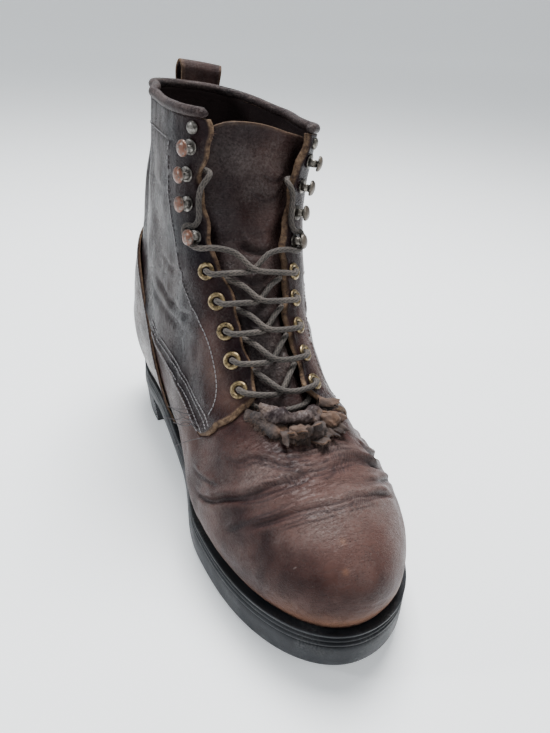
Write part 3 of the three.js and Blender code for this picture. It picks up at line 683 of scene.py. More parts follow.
def laceRoute():
    # hidden end, hook, five crossings down, the bar, five crossings up, hook, hidden end: each leg
    # leaves its eyelet outwards, passes over its own facing and goes under the other one
    levels = [levelAt(h) for h in (*fixings["eyelets"], fixings["hooks"][0])]
    hooks = [levelAt(h) for h in fixings["hooks"]]

    def leg(number, side, over):  # from eyelet number up to the next one on the other side
        low, high = levels[number], levels[number + 1]
        middle = mix(low, high, .42) - lacing["sag"]
        final = number == len(fixings["eyelets"]) - 1
        across = (facingU(middle, 1) + facingU(middle, -1)) / 2
        quarter = mix(facingU(middle, side), facingU(middle, -side), .22)
        far = mix(facingU(middle, side), facingU(middle, -side), .78)
        points = [besideFacing(low, side, fixings["inset"], .2),
                  besideFacing(low + .01, side, 9.0, 2.5),
                  besideFacing(low - .015, side, 6.2, 3.6), besideFacing(low, side, 2.2, 3.3),
                  off(quarter, mix(low, high, .18) - .02, 2.1 if over else 1.4),
                  off(across, middle, 2.6 if over else -.9),
                  off(far, mix(low, high, .72), -.4 if not final else 1.5)]
        if final:  # over the other facing and round the neck of the first hook
            points += [besideFacing(high - .06, -side, 1.5, 3.2), besideFacing(high - .085, -side, 7, 3.1),
                       besideFacing(high - .07, -side, 12.2, 3.2), besideFacing(high + .02, -side, 14.0, 3.3),
                       besideFacing(high + .10, -side, 11.4, 3.2)]
        else:
            points += [besideFacing(mix(low, high, .88), -side, -1.4, -2.2),
                       besideFacing(mix(low, high, .96), -side, 4.0, -4.4),
                       besideFacing(high, -side, 8.7, -4.3),
                       besideFacing(high, -side, fixings["inset"], -2.4)]
        return points

    def freeEnd(side):  # up the facing's edge past the second hook, then in behind it by the third
        first, second, third = hooks[:3]
        return [besideFacing(mix(first, second, .34), side, 7.0, 2.7),
                besideFacing(mix(first, second, .6), side, 3.2, 2.6),
                besideFacing(mix(second, third, .2), side, 1.6, 2.7),
                besideFacing(mix(second, third, .7), side, 0, 3.0),
                besideFacing(mix(second, third, 1.02), side, -2.4, 1.4),
                besideFacing(mix(second, third, 1.16), side, -3.4, -1.8),
                besideFacing(mix(second, third, 1.2), side, -1.6, -4.0),
                besideFacing(mix(second, third, 1.2), side, 3.0, -4.3)]

    def half(side):  # from the bar's end up to the free end on the other side of the last crossing
        points = []
        for number in range(len(fixings["eyelets"])):
            points += leg(number, side, over=side > 0)
            side = -side
        return points + freeEnd(side)

    bar = [off(np.asarray(mix(facingU(levels[0], -1), facingU(levels[0], 1), t)), levels[0] - .1, d)
           for t, d in ((-.12, -4.2), (.2, -1.6), (.5, -1.2), (.8, -1.6), (1.12, -4.2))]
    return np.array(half(-1)[::-1] + bar + half(1))


def makeLace():
    # a round braid: two families of strands wind opposite ways and lift the surface in turn
    route = laceRoute()
    rough = through(route, 600)
    path = through(route, int(pathLength(rough) / lacing["step"]))
    reach = lacing["soften"] // 2
    padded = np.pad(path, ((reach, reach), (0, 0)), "edge")  # each point is the mean of its neighbours
    path = sum(padded[k:k + len(path)] for k in range(2 * reach + 1)) / (2 * reach + 1)
    length = pathLength(path)
    along = np.linspace(0, length, len(path))[:, None]
    angle = np.linspace(0, 2 * np.pi, lacing["sides"], endpoint=False)[None]
    turn = along / lacing["plait"] * np.pi
    one = np.abs(np.cos(angle * lacing["strands"] / 2 + turn))
    two = np.abs(np.cos(angle * lacing["strands"] / 2 - turn))
    strand = np.maximum(one, two * (.8 + .2 * np.sin(2 * turn)))
    radius = lacing["radius"] * (1 - lacing["depth"] * (1 - strand))
    fade = smooth(softNoise(path, 9, 41), -.5, .6)[:, None] * .35 + .65
    # colour follows the braid: dark between the strands as painted shade, light on their tops
    shape = tube(path, radius, lacing["sides"], strand=strand ** 2 * fade)
    nodes = ["lace_bar", "lace_end_outer", "lace_end_inner"]
    nodes += [f"lace_crossing_{i}" for i in range(1, 6)]
    piece = makePiece("lace", shape, laceYarn, nodes)
    print("lace", round(length), "mm")


makeCamera()
makeLace()

thread = dict(pitch=2.7, length=2.2, radius=.33, sides=6)


def capsule(length, radius, sides):  # a stitch: rings of a rounded rod along X, closed at both ends
    way = np.array([-.5, -.5, -.42, -.2, .2, .42, .5, .5])
    thick = np.array([0, .45, .8, 1, 1, .8, .45, 0]) * radius
    angle = np.linspace(0, 2 * np.pi, sides, endpoint=False)
    rings = np.stack([np.repeat(way[:, None] * length, sides, 1), thick[:, None] * np.cos(angle),
                      thick[:, None] * np.sin(angle)], -1)
    return rings.reshape(-1, 3), gridQuads(np.arange(8 * sides).reshape(8, sides), True)


def stitchRow(uv, height, pitch=None, seed=1):
    # stitches at an even pitch along a line of u, v points, sunk a little at their ends
    pitch = pitch or thread["pitch"]
    uv = through(np.asarray(uv, float), 300)
    line = off(uv[:, 0], uv[:, 1], height(uv[:, 0], uv[:, 1]) if callable(height) else height)
    along = np.concatenate([[0], np.cumsum(np.linalg.norm(np.diff(line, axis=0), axis=1))])
    at = np.arange(pitch / 2, along[-1], pitch)
    places = np.stack([np.interp(at, along, line[:, k]) for k in range(3)], -1)
    u, v = np.interp(at, along, uv[:, 0]), np.interp(at, along, uv[:, 1])
    tangent = unit(np.gradient(places, axis=0))
    normal = bootNormal(u, v)
    random = np.random.default_rng(seed)
    tangent = unit(tangent + np.cross(normal, tangent) * random.normal(0, .10, (len(at), 1)))
    axes = np.stack([tangent, np.cross(normal, tangent), normal], 1)
    template, quads = capsule(thread["length"] * pitch / thread["pitch"], thread["radius"], thread["sides"])
    kept = random.random(len(at)) > .04
    shape = spread(template, quads, places[kept], axes[kept])
    shape["masks"] = dict(strand=np.full(len(shape["points"]), .8))
    return shape


def hairs(roots, directions, lengths, radius=.07, bend=.5, seed=5, **masks):
    # three-sided hairs of four rings that droop and curl away from their direction, tip closed
    random = np.random.default_rng(seed)
    t = np.linspace(0, 1, 5)
    drift = random.normal(0, bend, (len(roots), 3)) + np.array([0, 0, -.35]) * bend
    path = (roots[:, None] + directions[:, None] * t[None, :, None] * lengths[:, None, None]
            + drift[:, None] * (t ** 2)[None, :, None] * lengths[:, None, None])
    side = unit(np.cross(directions, random.normal(0, 1, (len(roots), 3))))
    other = np.cross(directions, side)
    thick = radius * np.array([0, 1, .9, .7, 0])
    angle = np.linspace(0, 2 * np.pi, 3, endpoint=False)
    ring = side[:, None] * np.cos(angle)[None, :, None] + other[:, None] * np.sin(angle)[None, :, None]
    points = path[:, :, None] + ring[:, None] * thick[None, :, None, None]
    quads = gridQuads(np.arange(15).reshape(5, 3), True)
    shift = np.arange(len(roots))[:, None, None] * 15
    points = points.reshape(-1, 3)
    return dict(points=points, quads=(quads[None] + shift).reshape(-1, 4),
                masks={k: np.full(len(points), float(m)) for k, m in masks.items()})


def spots(points, marks):  # sum of soft round marks: place, size in mm, strength
    total = np.zeros(points.shape[:-1])
    for place, size, strength in marks:
        gone = np.linalg.norm((points - np.array(place, float)) / np.asarray(size, float), axis=-1)
        total += strength * np.exp(-gone ** 2)
    return total


def folded(points, folds):
    # each fold: the distance to its line gives a soft trough with a ridge on its upper side, that
    # fades in and out along the line; returns the height and a painted shade mask for the trough
    height, troughShade = np.zeros(points.shape[:-1]), np.zeros(points.shape[:-1])
    flat, high, dark = points.reshape(-1, 3), height.reshape(-1), troughShade.reshape(-1)
    for uv, depth, width, ridge in folds:
        uv = through(np.asarray(uv, float), 180)
        line, normal = boot(uv[:, 0], uv[:, 1]), bootNormal(uv[:, 0], uv[:, 1])
        tangent = unit(np.gradient(line, axis=0))
        up = np.cross(normal, tangent)
        up *= np.sign(up[:, 2] + 1e-6)[:, None]
        margin = 5 * width
        near = np.all((flat > line.min(0) - margin) & (flat < line.max(0) + margin), 1)
        close = flat[near]
        far = (close ** 2).sum(1)[:, None] + (line ** 2).sum(1)[None] - 2 * close @ line.T
        i = far.argmin(1)
        gap = close - line[i]
        gap -= (gap * tangent[i]).sum(1)[:, None] * tangent[i]
        s = (gap * up[i]).sum(1)
        away = np.abs((gap * normal[i]).sum(1))
        ends = smooth(i / 179, 0, .22) * (1 - smooth(i / 179, .78, 1)) * np.exp(-(away / 9) ** 2)
        wave = 1 + .25 * softNoise(close, 14, 7)
        high[near] += ends * wave * depth * (-np.exp(-(s / width) ** 2)
                                             + ridge * np.exp(-((s - 2.3 * width) / (1.7 * width)) ** 2)
                                             + .4 * ridge * np.exp(-((s + 2.5 * width) / (2 * width)) ** 2))
        # painted shade, darkest along the fold line
        dark[near] = np.maximum(dark[near], ends * np.exp(-(s / (.55 * width)) ** 2))
    return height, troughShade


hem = dict(reach=(0, .017, .043, .085, .135, .150, .17, .19, .21, .25, .35, .47),
           level=(4.28, 4.08, 3.83, 3.46, 2.83, 2.84, 2.89, 2.95, 3.05, 3.2, 3.3, 3.3),
           thickness=1.7, bevel=2.6)


def hemLevel(u):  # v of the quarters' lower edge, by its reach beyond the facing
    u = (u + .5) % 1 - .5
    side = np.where(u > 0, facingU(4.28, 1), -facingU(4.28, -1))
    return np.interp(np.abs(u) - side, hem["reach"], hem["level"])


vampFolds = [  # line of u, v; depth, width in mm; share of the ridge above
    (((-.075, 3.60), (-.035, 3.69), (.01, 3.71), (.045, 3.62), (.08, 3.4)), .7, .95, .7),
    (((-.10, 3.38), (-.06, 3.54), (-.02, 3.64), (.03, 3.65), (.07, 3.45)), .6, .9, .7),
    (((-.10, 3.15), (-.06, 3.36), (-.02, 3.44), (.02, 3.45), (.06, 3.32)), .6, .9, .7),
    (((-.09, 3.46), (-.05, 3.58), (-.017, 3.59), (.02, 3.61), (.058, 3.48), (.096, 3.14), (.133, 2.48)),
     .7, 1.2, .7),
    (((-.152, 2.99), (-.119, 3.2), (-.074, 3.5), (-.042, 3.52), (.004, 3.55), (.042, 3.49), (.082, 3.21),
      (.132, 2.4)), 1.1, 1.5, .8),
    (((-.18, 1.54), (-.156, 1.92), (-.138, 2.37), (-.108, 2.89), (-.078, 3.2), (-.043, 3.39), (-.006, 3.5),
      (.038, 3.45), (.088, 3.12), (.14, 2.15)), 1.9, 2.0, .8),
    (((-.132, 2.45), (-.1, 2.9), (-.062, 3.25), (-.02, 3.4), (.031, 3.4)), .9, 1.1, .6),
    (((-.198, 1.54), (-.181, 1.56), (-.168, 1.67), (-.15, 2.02)), .9, 1.3, .7),
    (((-.20, 1.9), (-.186, 1.95), (-.168, 2.15), (-.15, 2.4)), .7, 1.1, .7),
    (((-.122, 1.99), (-.099, 2.51), (-.074, 2.86), (-.05, 3.04), (-.019, 3.13), (.014, 3.13), (.05, 2.97),
      (.078, 2.69), (.105, 2.1)), 1.3, 1.7, .8),
    (((-.086, 2.55), (-.066, 2.81), (-.036, 3.0), (0, 3.07), (.032, 2.99), (.06, 2.75)), .6, 1.1, .6),
    (((-.14, 1.5), (-.118, 2.2), (-.095, 2.7), (-.06, 3.08), (-.03, 3.2)), .7, 1.3, .6),
    (((.03, 3.28), (.07, 3.02), (.11, 2.45), (.14, 1.7)), 1.0, 1.5, .7),
    (((.10, 3.35), (.125, 2.9), (.15, 2.2), (.17, 1.6)), 1.2, 1.7, .8),
    (((.15, 2.7), (.175, 2.2), (.195, 1.6)), .8, 1.4, .7),
    (((-.23, 1.2), (-.26, 1.5), (-.30, 1.6)), .6, 1.6, .5),
    (((.22, 1.9), (.26, 1.5), (.30, 1.7)), .7, 1.8, .5),
]
crispness = dict(width=.78, depth=.85)


def doubled(folds, shift, share):  # crisper folds, each with a shallower one beside it
    narrow, deep = crispness["width"], crispness["depth"]
    first = [(line, depth * deep, width * narrow, ridge) for line, depth, width, ridge in folds]
    second = [(tuple((u, v + shift) for u, v in line), depth * share, width, ridge)
              for line, depth, width, ridge in first]
    return first + second


vampMarks = dict(
    # the broad lighter tone mark over the top of the toe is painted light; the two large darker marks low on
    # the inner side are painted shade; the small dark marks are mottling
    tone=[((-6, -125, 72), (40, 34, 30), .36), ((-45, -115, 45), (22, 30, 26), -.08),
          ((-50, -70, 45), (20, 35, 30), -.14), ((30, -110, 60), (28, 40, 30), .14),
          ((-30, -128, 62), (12, 10, 9), -.34), ((-40, -112, 66), (10, 9, 8), -.30),
          ((-22, -142, 58), (10, 8, 8), -.22), ((-48, -90, 60), (9, 10, 9), -.25)],
    pale=[((4, -120, 78), (22, 12, 14), .42), ((-22, -127, 74), (12, 8, 8), .20),
          ((28, -112, 70), (14, 12, 12), .25), ((-34, -84, 78), (14, 7, 8), .30),
          ((10, -84, 86), (20, 4, 8), .30), ((-14, -95, 84), (18, 4, 8), .22)],
    rust=[((-14, -154, 37), (24, 12, 7), .75), ((18, -150, 36), (22, 14, 6), .7),
          ((-38, -138, 38), (12, 12, 7), .45), ((-13, -136, 72), 1.6, .9), ((-17, -147, 65), 1.5, .8),
          ((46, -128, 40), (14, 16, 7), .5), ((-45, -25, 62), (8, 20, 10), .12)],
)


vampColumns = [(-.5, -.24, 26), (-.24, -.15, 44), (-.15, .15, 240), (.15, .24, 44), (.24, .5, 26)]


def makeVamp():
    # the lower upper: v from the feather line to the throat or just under the quarters' hem
    u = np.concatenate([np.linspace(a, b, count, endpoint=False) for a, b, count in vampColumns])
    top = np.where(np.abs(u) < .03, 3.97, np.minimum(hemLevel(u) + .22, 4.02))
    top = np.convolve(np.pad(top, 3, "edge"), np.ones(7) / 7, "valid")
    rows = np.concatenate([np.linspace(0, .42, 28, endpoint=False), np.linspace(.42, 1, 98)])[:, None]
    v = top[None] * rows
    u = np.broadcast_to(u, v.shape)
    form = boot(u, v)
    height, crease = folded(form, doubled(vampFolds, -.055, .65))
    flex = smooth(v, 2.2, 3.2) * (1 - smooth(np.abs(u), .13, .2))
    height += softNoise(form, 34, 3) * .9 * smooth(v, .4, 1.4)
    height += softNoise(form, (13, 7, 7), 4) * (.22 + .10 * flex)
    height += softNoise(form, (9, 2.6, 2.6), 5) * .09 * flex + softNoise(form, (4, 3, 3), 6) * .07
    height -= 1.1 * (1 - smooth(v, 0, .22))
    height += .5 * np.exp(-((v - .42) / .16) ** 2) * (1 - smooth(np.abs(u), .16, .25))
    under = smooth(v - hemLevel(u), -.03, .07) * smooth(np.abs(u), .03, .06)
    height = mix(height, -1.2, under)
    outer, inner = off(u, v, height), off(u, v, np.minimum(height - 1.6, -last["leather"]))
    inner[0, :, 2] = bedHeight(inner[0, :, 1])
    patch = softNoise(form, 17, 11)
    tone = .64 + .14 * patch + spots(form, vampMarks["tone"]) - .22 * smooth(np.abs(u), .2, .34)
    tone += .10 * softNoise(form, 6, 12)
    tone -= .12 * smooth(v, 3.1, 3.8)
    pale = np.clip(spots(form, vampMarks["pale"]) * (1 + .6 * patch), 0, .8)
    pale += .10 * smooth(height, .3, 1.1) * flex
    edgeLine = np.exp(-((v - .14) / .30) ** 2) * (.45 + .30 * patch)
    rust = np.clip(spots(form, vampMarks["rust"]) * (1 + .5 * patch) + edgeLine, 0, 1)
    shape = shell(outer, inner, wraps=True, tone=tone, pale=pale, rust=rust * smooth(v, 0, .08),
                  crease=crease * .75, raw=0, fold=.08 + .26 * flex)
    makePiece("vamp", shape, leatherVamp, ["upper"])
    return crease


shaftFolds = [
    (((-.11, 4.95), (-.15, 4.78), (-.2, 4.72), (-.27, 4.86)), .9, 2.4, .6),
    (((-.12, 5.35), (-.17, 5.2), (-.24, 5.28)), .7, 2.2, .6),
    (((-.13, 4.62), (-.18, 4.45), (-.25, 4.42), (-.31, 4.6)), .8, 2.6, .6),
    (((-.15, 6.2), (-.2, 6.0), (-.27, 6.05)), .6, 2.6, .6),
    (((.10, 4.9), (.15, 4.7), (.21, 4.72), (.28, 4.9)), 1.1, 2.6, .6),
    (((.11, 5.3), (.17, 5.1), (.24, 5.25), (.30, 5.3)), .9, 2.4, .6),
    (((.12, 4.5), (.18, 4.3), (.25, 4.35), (.32, 4.6)), 1.0, 2.6, .6),
    (((.14, 6.1), (.2, 5.9), (.29, 6.0)), .7, 2.8, .6),
    (((.40, 6.0), (.46, 5.85), (.53, 5.86), (.60, 6.02)), .9, 2.6, .6),
    (((.43, 6.45), (.5, 6.35), (.57, 6.45)), .6, 2.4, .5),
]
shaftMarks = dict(
    tone=[((-36, -15, 118), (12, 16, 26), .40), ((-34, -38, 98), (12, 16, 14), .34),
          ((22, -20, 120), (16, 20, 34), .40), ((40, 20, 130), (16, 40, 40), .30),
          ((44, 60, 190), (16, 50, 40), .22), ((8, 140, 190), (26, 16, 36), .22)],
    pale=[((-45, 45, 128), (10, 12, 22), .22), ((-42, 58, 200), (8, 10, 30), .18),
          ((-36, -28, 104), (7, 6, 7), .20),
          ((44, 40, 110), (12, 30, 14), .18)],
    rust=[((-33, -44, 99), (8, 8, 6), .35), ((-34, -26, 106), (6, 7, 6), .25),
          ((26, -42, 100), (8, 8, 8), .3)],
)


def facingWave(v, side):  # the facings' edges wander, in mm
    z = np.interp(v, levelTable, heightTable)
    return 1.3 * np.sin(2 * np.pi * z / 37 + side) + .7 * np.sin(2 * np.pi * z / 16 + 2.1 * side)


def shaftRelief(form, fromEdge, fromHem):  # height of the quarters over the form, folds and looseness
    height, crease = folded(form, shaftFolds)
    loose = smooth(fromEdge, 12, 34)
    height *= loose
    height += softNoise(form, 30, 21) * 1.3 * loose + softNoise(form, (8, 8, 18), 22) * .5 * loose
    height += softNoise(form, (2.6, 2.6, 7), 23) * .12 + .30
    height += (hem["thickness"] - .3) * np.exp(-(fromHem / 6) ** 2)
    height += .5 * np.exp(-((fromEdge - 3) / 2.6) ** 2)
    height += .35 * softNoise(form, 9, 24) * np.exp(-(fromEdge / 8) ** 2)
    return height, crease, loose


def seamHeight(u, v):  # the same relief under a line of stitches, plus half a thread
    u = (u + .5) % 1 - .5
    form = boot(u, v)
    edge = np.where(u > 0, facingU(v, 1), facingU(v, -1))
    fromEdge = np.where(v > throatLevel, np.linalg.norm(form - boot(edge, v), axis=-1), 60)
    fromHem = np.linalg.norm(form - boot(u, hemLevel(u)), axis=-1)
    return shaftRelief(form, fromEdge, fromHem)[0] + .22


def makeQuarters():
    # both sides and the shaft in one wall: columns from the outer facing round the heel to the
    # inner one, rows from the hem up to the collar; edges are bevelled to their raw cut
    share = np.concatenate([np.linspace(0, .028, 8, endpoint=False), np.linspace(.028, 1, 146)])
    rows = np.concatenate([np.linspace(0, .022, 6, endpoint=False), np.linspace(.022, 1, 112)])[:, None]
    halves = []
    for side in (1, -1):
        start = side * facingU(4.28, side)
        low = np.interp(share * (.5 - start), hem["reach"], hem["level"])
        v = low[None] + (collarLevel - low[None]) * rows
        edge = insetU(v, side, facingWave(v, side))
        halves.append((mix(edge, side * .5, share[None]), v))
    u = np.concatenate([halves[0][0], 1 + halves[1][0][:, -2::-1]], 1)
    v = np.concatenate([halves[0][1], halves[1][1][:, -2::-1]], 1)
    form = boot(u, v)
    fromEdge = np.minimum(np.linalg.norm(form - form[:, :1], axis=-1),
                          np.linalg.norm(form - form[:, -1:], axis=-1))
    fromHem = np.linalg.norm(form - form[:1], axis=-1)
    height, crease, loose = shaftRelief(form, fromEdge, fromHem)
    band = np.exp(-((v - 6.66) / .016) ** 2) * loose
    height -= .45 * band
    bevelHem = 1 - smooth(fromHem, .2, hem["bevel"])
    bevelEdge = 1 - smooth(fromEdge, .2, 3.0)
    outer = off(u, v, height - 1.3 * bevelHem - 1.5 * bevelEdge)
    lining = softNoise(form, (5, 5, 30), 25) * .5
    overlap = smooth(v - v[:1], .2, .5)
    inner = off(u, v, mix(-1.1, -last["leather"] - .25 + lining * overlap, overlap))
    patch = softNoise(form, 15, 26)
    rawMask = np.maximum(1 - smooth(fromHem + patch, 1.6, 2.8), 1 - smooth(fromEdge + patch, 1.2, 2.6))
    tone = .20 + .14 * patch + spots(form, shaftMarks["tone"]) + .16 * smooth(form[..., 0], 0, 40)
    pale = np.clip(spots(form, shaftMarks["pale"]) * (1 + .7 * patch), 0, .6)
    rust = np.clip(spots(form, shaftMarks["rust"]) * (1 + .6 * patch), 0, .8)
    # the groove under the collar seam is darkened as painted shade through crease
    shape = shell(outer, inner, rim=4, bulge=.3, tone=tone, pale=pale, rust=rust,
                  crease=np.maximum(crease * .35 * loose, band * .8), raw=rawMask, fold=.15 + .3 * loose)
    makePiece("quarters", shape, leatherShaft)


makeVamp()
makeQuarters()
print("vamp and quarters ready")

counter = dict(reach=.2, low=.8, high=5.3, blunt=3, lift=.55, thickness=1.4)


def counterTop(across):  # high in the middle, falling as a power of the distance from it
    return mix(counter["low"], counter["high"], (1 - np.abs(across) ** counter["blunt"]) ** .8)


def makeCounter():  # wraps the heel, high at the back, its bevelled edge proud of the quarters
    across = np.sin(np.linspace(-1, 1, 150) * np.pi / 2)
    rows = np.concatenate([np.linspace(0, .94, 80, endpoint=False), np.linspace(.94, 1, 8)])[:, None]
    v = mix(.1, counterTop(across)[None], rows)
    u = np.broadcast_to(.5 + across * counter["reach"], v.shape)
    form = boot(u, v)
    fromTop = np.linalg.norm(form - form[-1:], axis=-1)
    height = counter["lift"] + counter["thickness"]
    height = height + softNoise(form, 26, 31) * .5 + softNoise(form, 7, 32) * .12
    height += .5 * np.exp(-(fromTop / 3) ** 2) - 1.3 * (1 - smooth(fromTop, 0, 1.6))
    height -= .8 * (1 - smooth(v, .1, .3))
    patch = softNoise(form, 14, 33)
    tone = .34 + .12 * patch + .12 * smooth(form[..., 2], 130, 60)
    pale = .25 * np.clip(patch, 0, 1) * smooth(form[..., 2], 90, 40)
    rust = np.clip(.5 * (1 - smooth(v, .1, .5)) + .25 * np.exp(-(fromTop / 2) ** 2) * (patch > .1), 0, 1)
    shape = shell(off(u, v, height), off(u, v, np.full(v.shape, counter["lift"])), rim=4, bulge=.3, tone=tone,
                  pale=pale, rust=rust, crease=0, raw=(1 - smooth(fromTop, .3, 1.3)) * .6)
    makePiece("counter", shape, leatherShaft, ["heel_counter"])


collar = dict(roll=2.9, start=2, gap=.3, sides=28, steps=420)


def makeCollar():  # a stuffed roll along the top edge: a round section, puckered by its stitches
    start, end = insetU(collarLevel, 1, collar["start"]), 1 + insetU(collarLevel, -1, collar["start"])
    u = np.linspace(start, end, collar["steps"])
    path = off(u, np.full(len(u), 7.0), np.full(len(u), -last["leather"] / 2))
    path[:, 2] += collar["roll"] + collar["gap"] - .5 + .35 * softNoise(path, 22, 51)
    along = np.linspace(0, pathLength(path), len(path))[:, None]
    pucker = 1 - .035 * (1 - np.abs(np.cos(along / 3.1 * np.pi))) + .05 * softNoise(path, 12, 52)[:, None]
    ends = np.minimum(smooth(along, -1.5, 3), 1 - smooth(along, along[-1] - 3, along[-1] + 1.5))
    around = path[:, None].repeat(collar["sides"], 1)
    grain = softNoise(around + np.arange(collar["sides"])[None, :, None] * 2.0, 3, 53)
    radius = collar["roll"] * pucker * ends * (1 + .02 * grain)
    shape = tube(path, radius, collar["sides"], tone=.22 + .1 * grain, pale=np.clip(.22 + .2 * grain, 0, 1),
                 rust=0, crease=0, raw=0, inside=0)
    makePiece("collarRoll", shape, leatherTrim, ["collar_roll"])


pull = dict(span=.058, thickness=2.0, perLevel=46, route=(  # distance off the form and height over the collar
    (1.9, -30), (1.9, -19), (4.2, -13), (7.2, -6), (10.5, 0), (12, 7), (10.6, 13), (6.8, 16.5), (3.6, 13.5),
    (3.3, 7), (3.3, 0), (2.4, -6), (1.9, -13)))


def overCollar(height):  # v at a height over or under the collar
    return collarLevel + height / pull["perLevel"]


def makePullLoop():  # a folded strap standing behind the roll: a route of distance and height, swept across
    route = through(pull["route"], 150)
    slope = unit(np.gradient(route, axis=0))
    across = np.linspace(-1, 1, 26)
    flare = 1 + .06 * smooth(route[:, 1], 0, 18)[:, None]
    u = .5 + across[None] / 2 * pull["span"] * flare
    belly = .5 * (1 - across ** 2) * smooth(route[:, 1], -4, 10)[:, None]

    def skin(side):  # one side of the strap, half its thickness off the route
        half = side * pull["thickness"] / 2
        distance = route[:, 0] + half * slope[:, 1]
        height = route[:, 1] - half * slope[:, 0]
        bulged = distance[:, None] + belly * (slope[:, 1:] > 0)
        return off(u, overCollar(height[:, None]), bulged)
    outer = skin(1)
    patch = softNoise(outer, 6, 61)
    nearEdge = smooth(np.abs(across)[None], .86, .97)
    shape = shell(outer, skin(-1), rim=4, bulge=.3, tone=.48 + .16 * patch, pale=.10 + .2 * nearEdge,
                  rust=.25 * nearEdge, crease=0, raw=nearEdge * .45)
    makePiece("pullLoop", shape, leatherTrim, ["pull_loop"])


tongue = dict(bottom=3.7, curve=.16, gap=1.9, thickness=2.0, margin=.03, slack=9)
tongueDents = [((-8, 10, 214), (9, 6, 9), 1.6), ((-16, 10, 194), (8, 6, 11), 1.6),
               ((-24, 6, 176), (6, 6, 7), 1.2), ((10, 12, 200), (12, 8, 12), 1.3),
               ((14, 4, 178), (8, 6, 7), 1.8), ((2, 8, 186), (9, 6, 9), -1.6),
               ((-2, -20, 128), (9, 8, 5), 1.5), ((6, -34, 112), (8, 8, 5), 1.5),
               ((-8, -12, 142), (9, 8, 6), -1.2),
               ((0, 0, 158), (10, 8, 6), 1.3), ((24, 12, 222), (6, 6, 5), 1.4)]
tongueFolds = [(((.02, 6.42), (.045, 6.36), (.066, 6.40)), 1.4, 1.5, .8),
               (((.005, 6.22), (.035, 6.12), (.058, 6.2)), .8, 1.3, .7),
               (((-.02, 5.70), (.02, 5.62), (.05, 5.66)), 2.0, 1.9, 1.0),
               (((-.04, 5.45), (0, 5.38), (.035, 5.43)), 1.1, 1.6, .8),
               (((-.04, 5.05), (.0, 5.0), (.03, 5.06)), 1.3, 1.8, .8),
               (((-.04, 4.72), (-.01, 4.66), (.03, 4.74)), 1.2, 1.7, .8),
               (((-.04, 4.42), (-.01, 4.36), (.03, 4.42)), 1.2, 1.6, .8)]


tonguePale = [((-6, 6, 212), (12, 12, 10), .2), ((16, 6, 200), (14, 12, 16), .22),
              ((12, -6, 160), (14, 12, 12), .25), ((0, -30, 112), (20, 20, 14), .30)]


def makeTongue():  # a soft dented sheet behind the facings, pushed in where the laces pass under them
    across = np.linspace(-1, 1, 130)
    rows = np.linspace(0, 1, 170)[:, None]
    top = collarLevel - tongue["curve"] * across ** 2 - .12 * smooth(-across, .3, 1)
    top += .05 * smooth(across, .5, 1)
    v = mix(tongue["bottom"], top[None], rows)
    low, high = facingU(v, -1) - tongue["margin"], facingU(v, 1) + tongue["margin"]
    u = mix(low, high, (across[None] + 1) / 2)
    form = boot(u, v)
    dent, crease = folded(form, tongueFolds)
    height = dent + 1.5 * spots(off(u, v, np.full(v.shape, -2.)), tongueDents)
    height += softNoise(form, (9, 9, 14), 71) * 1.1
    height += softNoise(form, (3.2, 3.2, 5), 72) * .16
    under = smooth(np.abs(across)[None], .42, .74) * (1 - smooth(v, 5.7, 6.0))
    height = mix(height, -2.6, under)
    height = np.where(v < 5.6, np.minimum(height, 1.5), height)
    curl = smooth(across[None], .62, 1) * smooth(rows, .93, 1)
    depth = -last["leather"] - tongue["gap"] + height + 4.0 * curl

    def skin(extra):  # a face of the tongue at the depth plus an extra
        points = off(u, v, depth - extra)
        points[..., 1] += tongue["slack"] * smooth(v, 5, 7)
        return points
    patch = softNoise(form, 16, 73)
    tone = .28 + .34 * smooth(form[..., 0], -20, 22) + .10 * patch - .10 * (1 - smooth(v, 4.6, 5.6))
    pale = .10 + .25 * np.clip(patch, 0, 1) + spots(form, tonguePale)
    pale = np.clip(pale, 0, .7)
    nearEdge = smooth(rows, .985, .999) + smooth(np.abs(across)[None], .985, 1)
    shape = shell(skin(0), skin(tongue["thickness"]), rim=4, bulge=.3, tone=tone, pale=pale + .4 * curl,
                  rust=.2 * curl, crease=crease * .45, raw=np.clip(nearEdge * .35, 0, 1), fold=.3)
    makePiece("tongueLeather", shape, leatherTongue, ["tongue"])


makeCounter()
makeCollar()
makePullLoop()
makeTongue()
print("counter, collar, loop and tongue ready")

sole = dict(ledge=last["ledge"], welt=8, gap=.3, thin=7, waist=(-15, 35), heelBreast=.372, heelTaper=4,
            lugs=9, firstLug=-132, lugPitch=14, grooveWidth=4, grooveDepth=3.2, grooveSlant=-.12,
            heelGrooves=(137, 119), weltGrooves=(5.6, 2.9))


def outsoleUnderside(y):  # toe spring in front, a thin layer behind the waist
    thin = bedHeight(y) - sole["welt"] - sole["gap"] - sole["thin"]
    rise = bedRise(np.minimum(y, last["springStart"])) - bedRise(last["springStart"])
    return mix(rise, thin, smooth(y, *sole["waist"]))


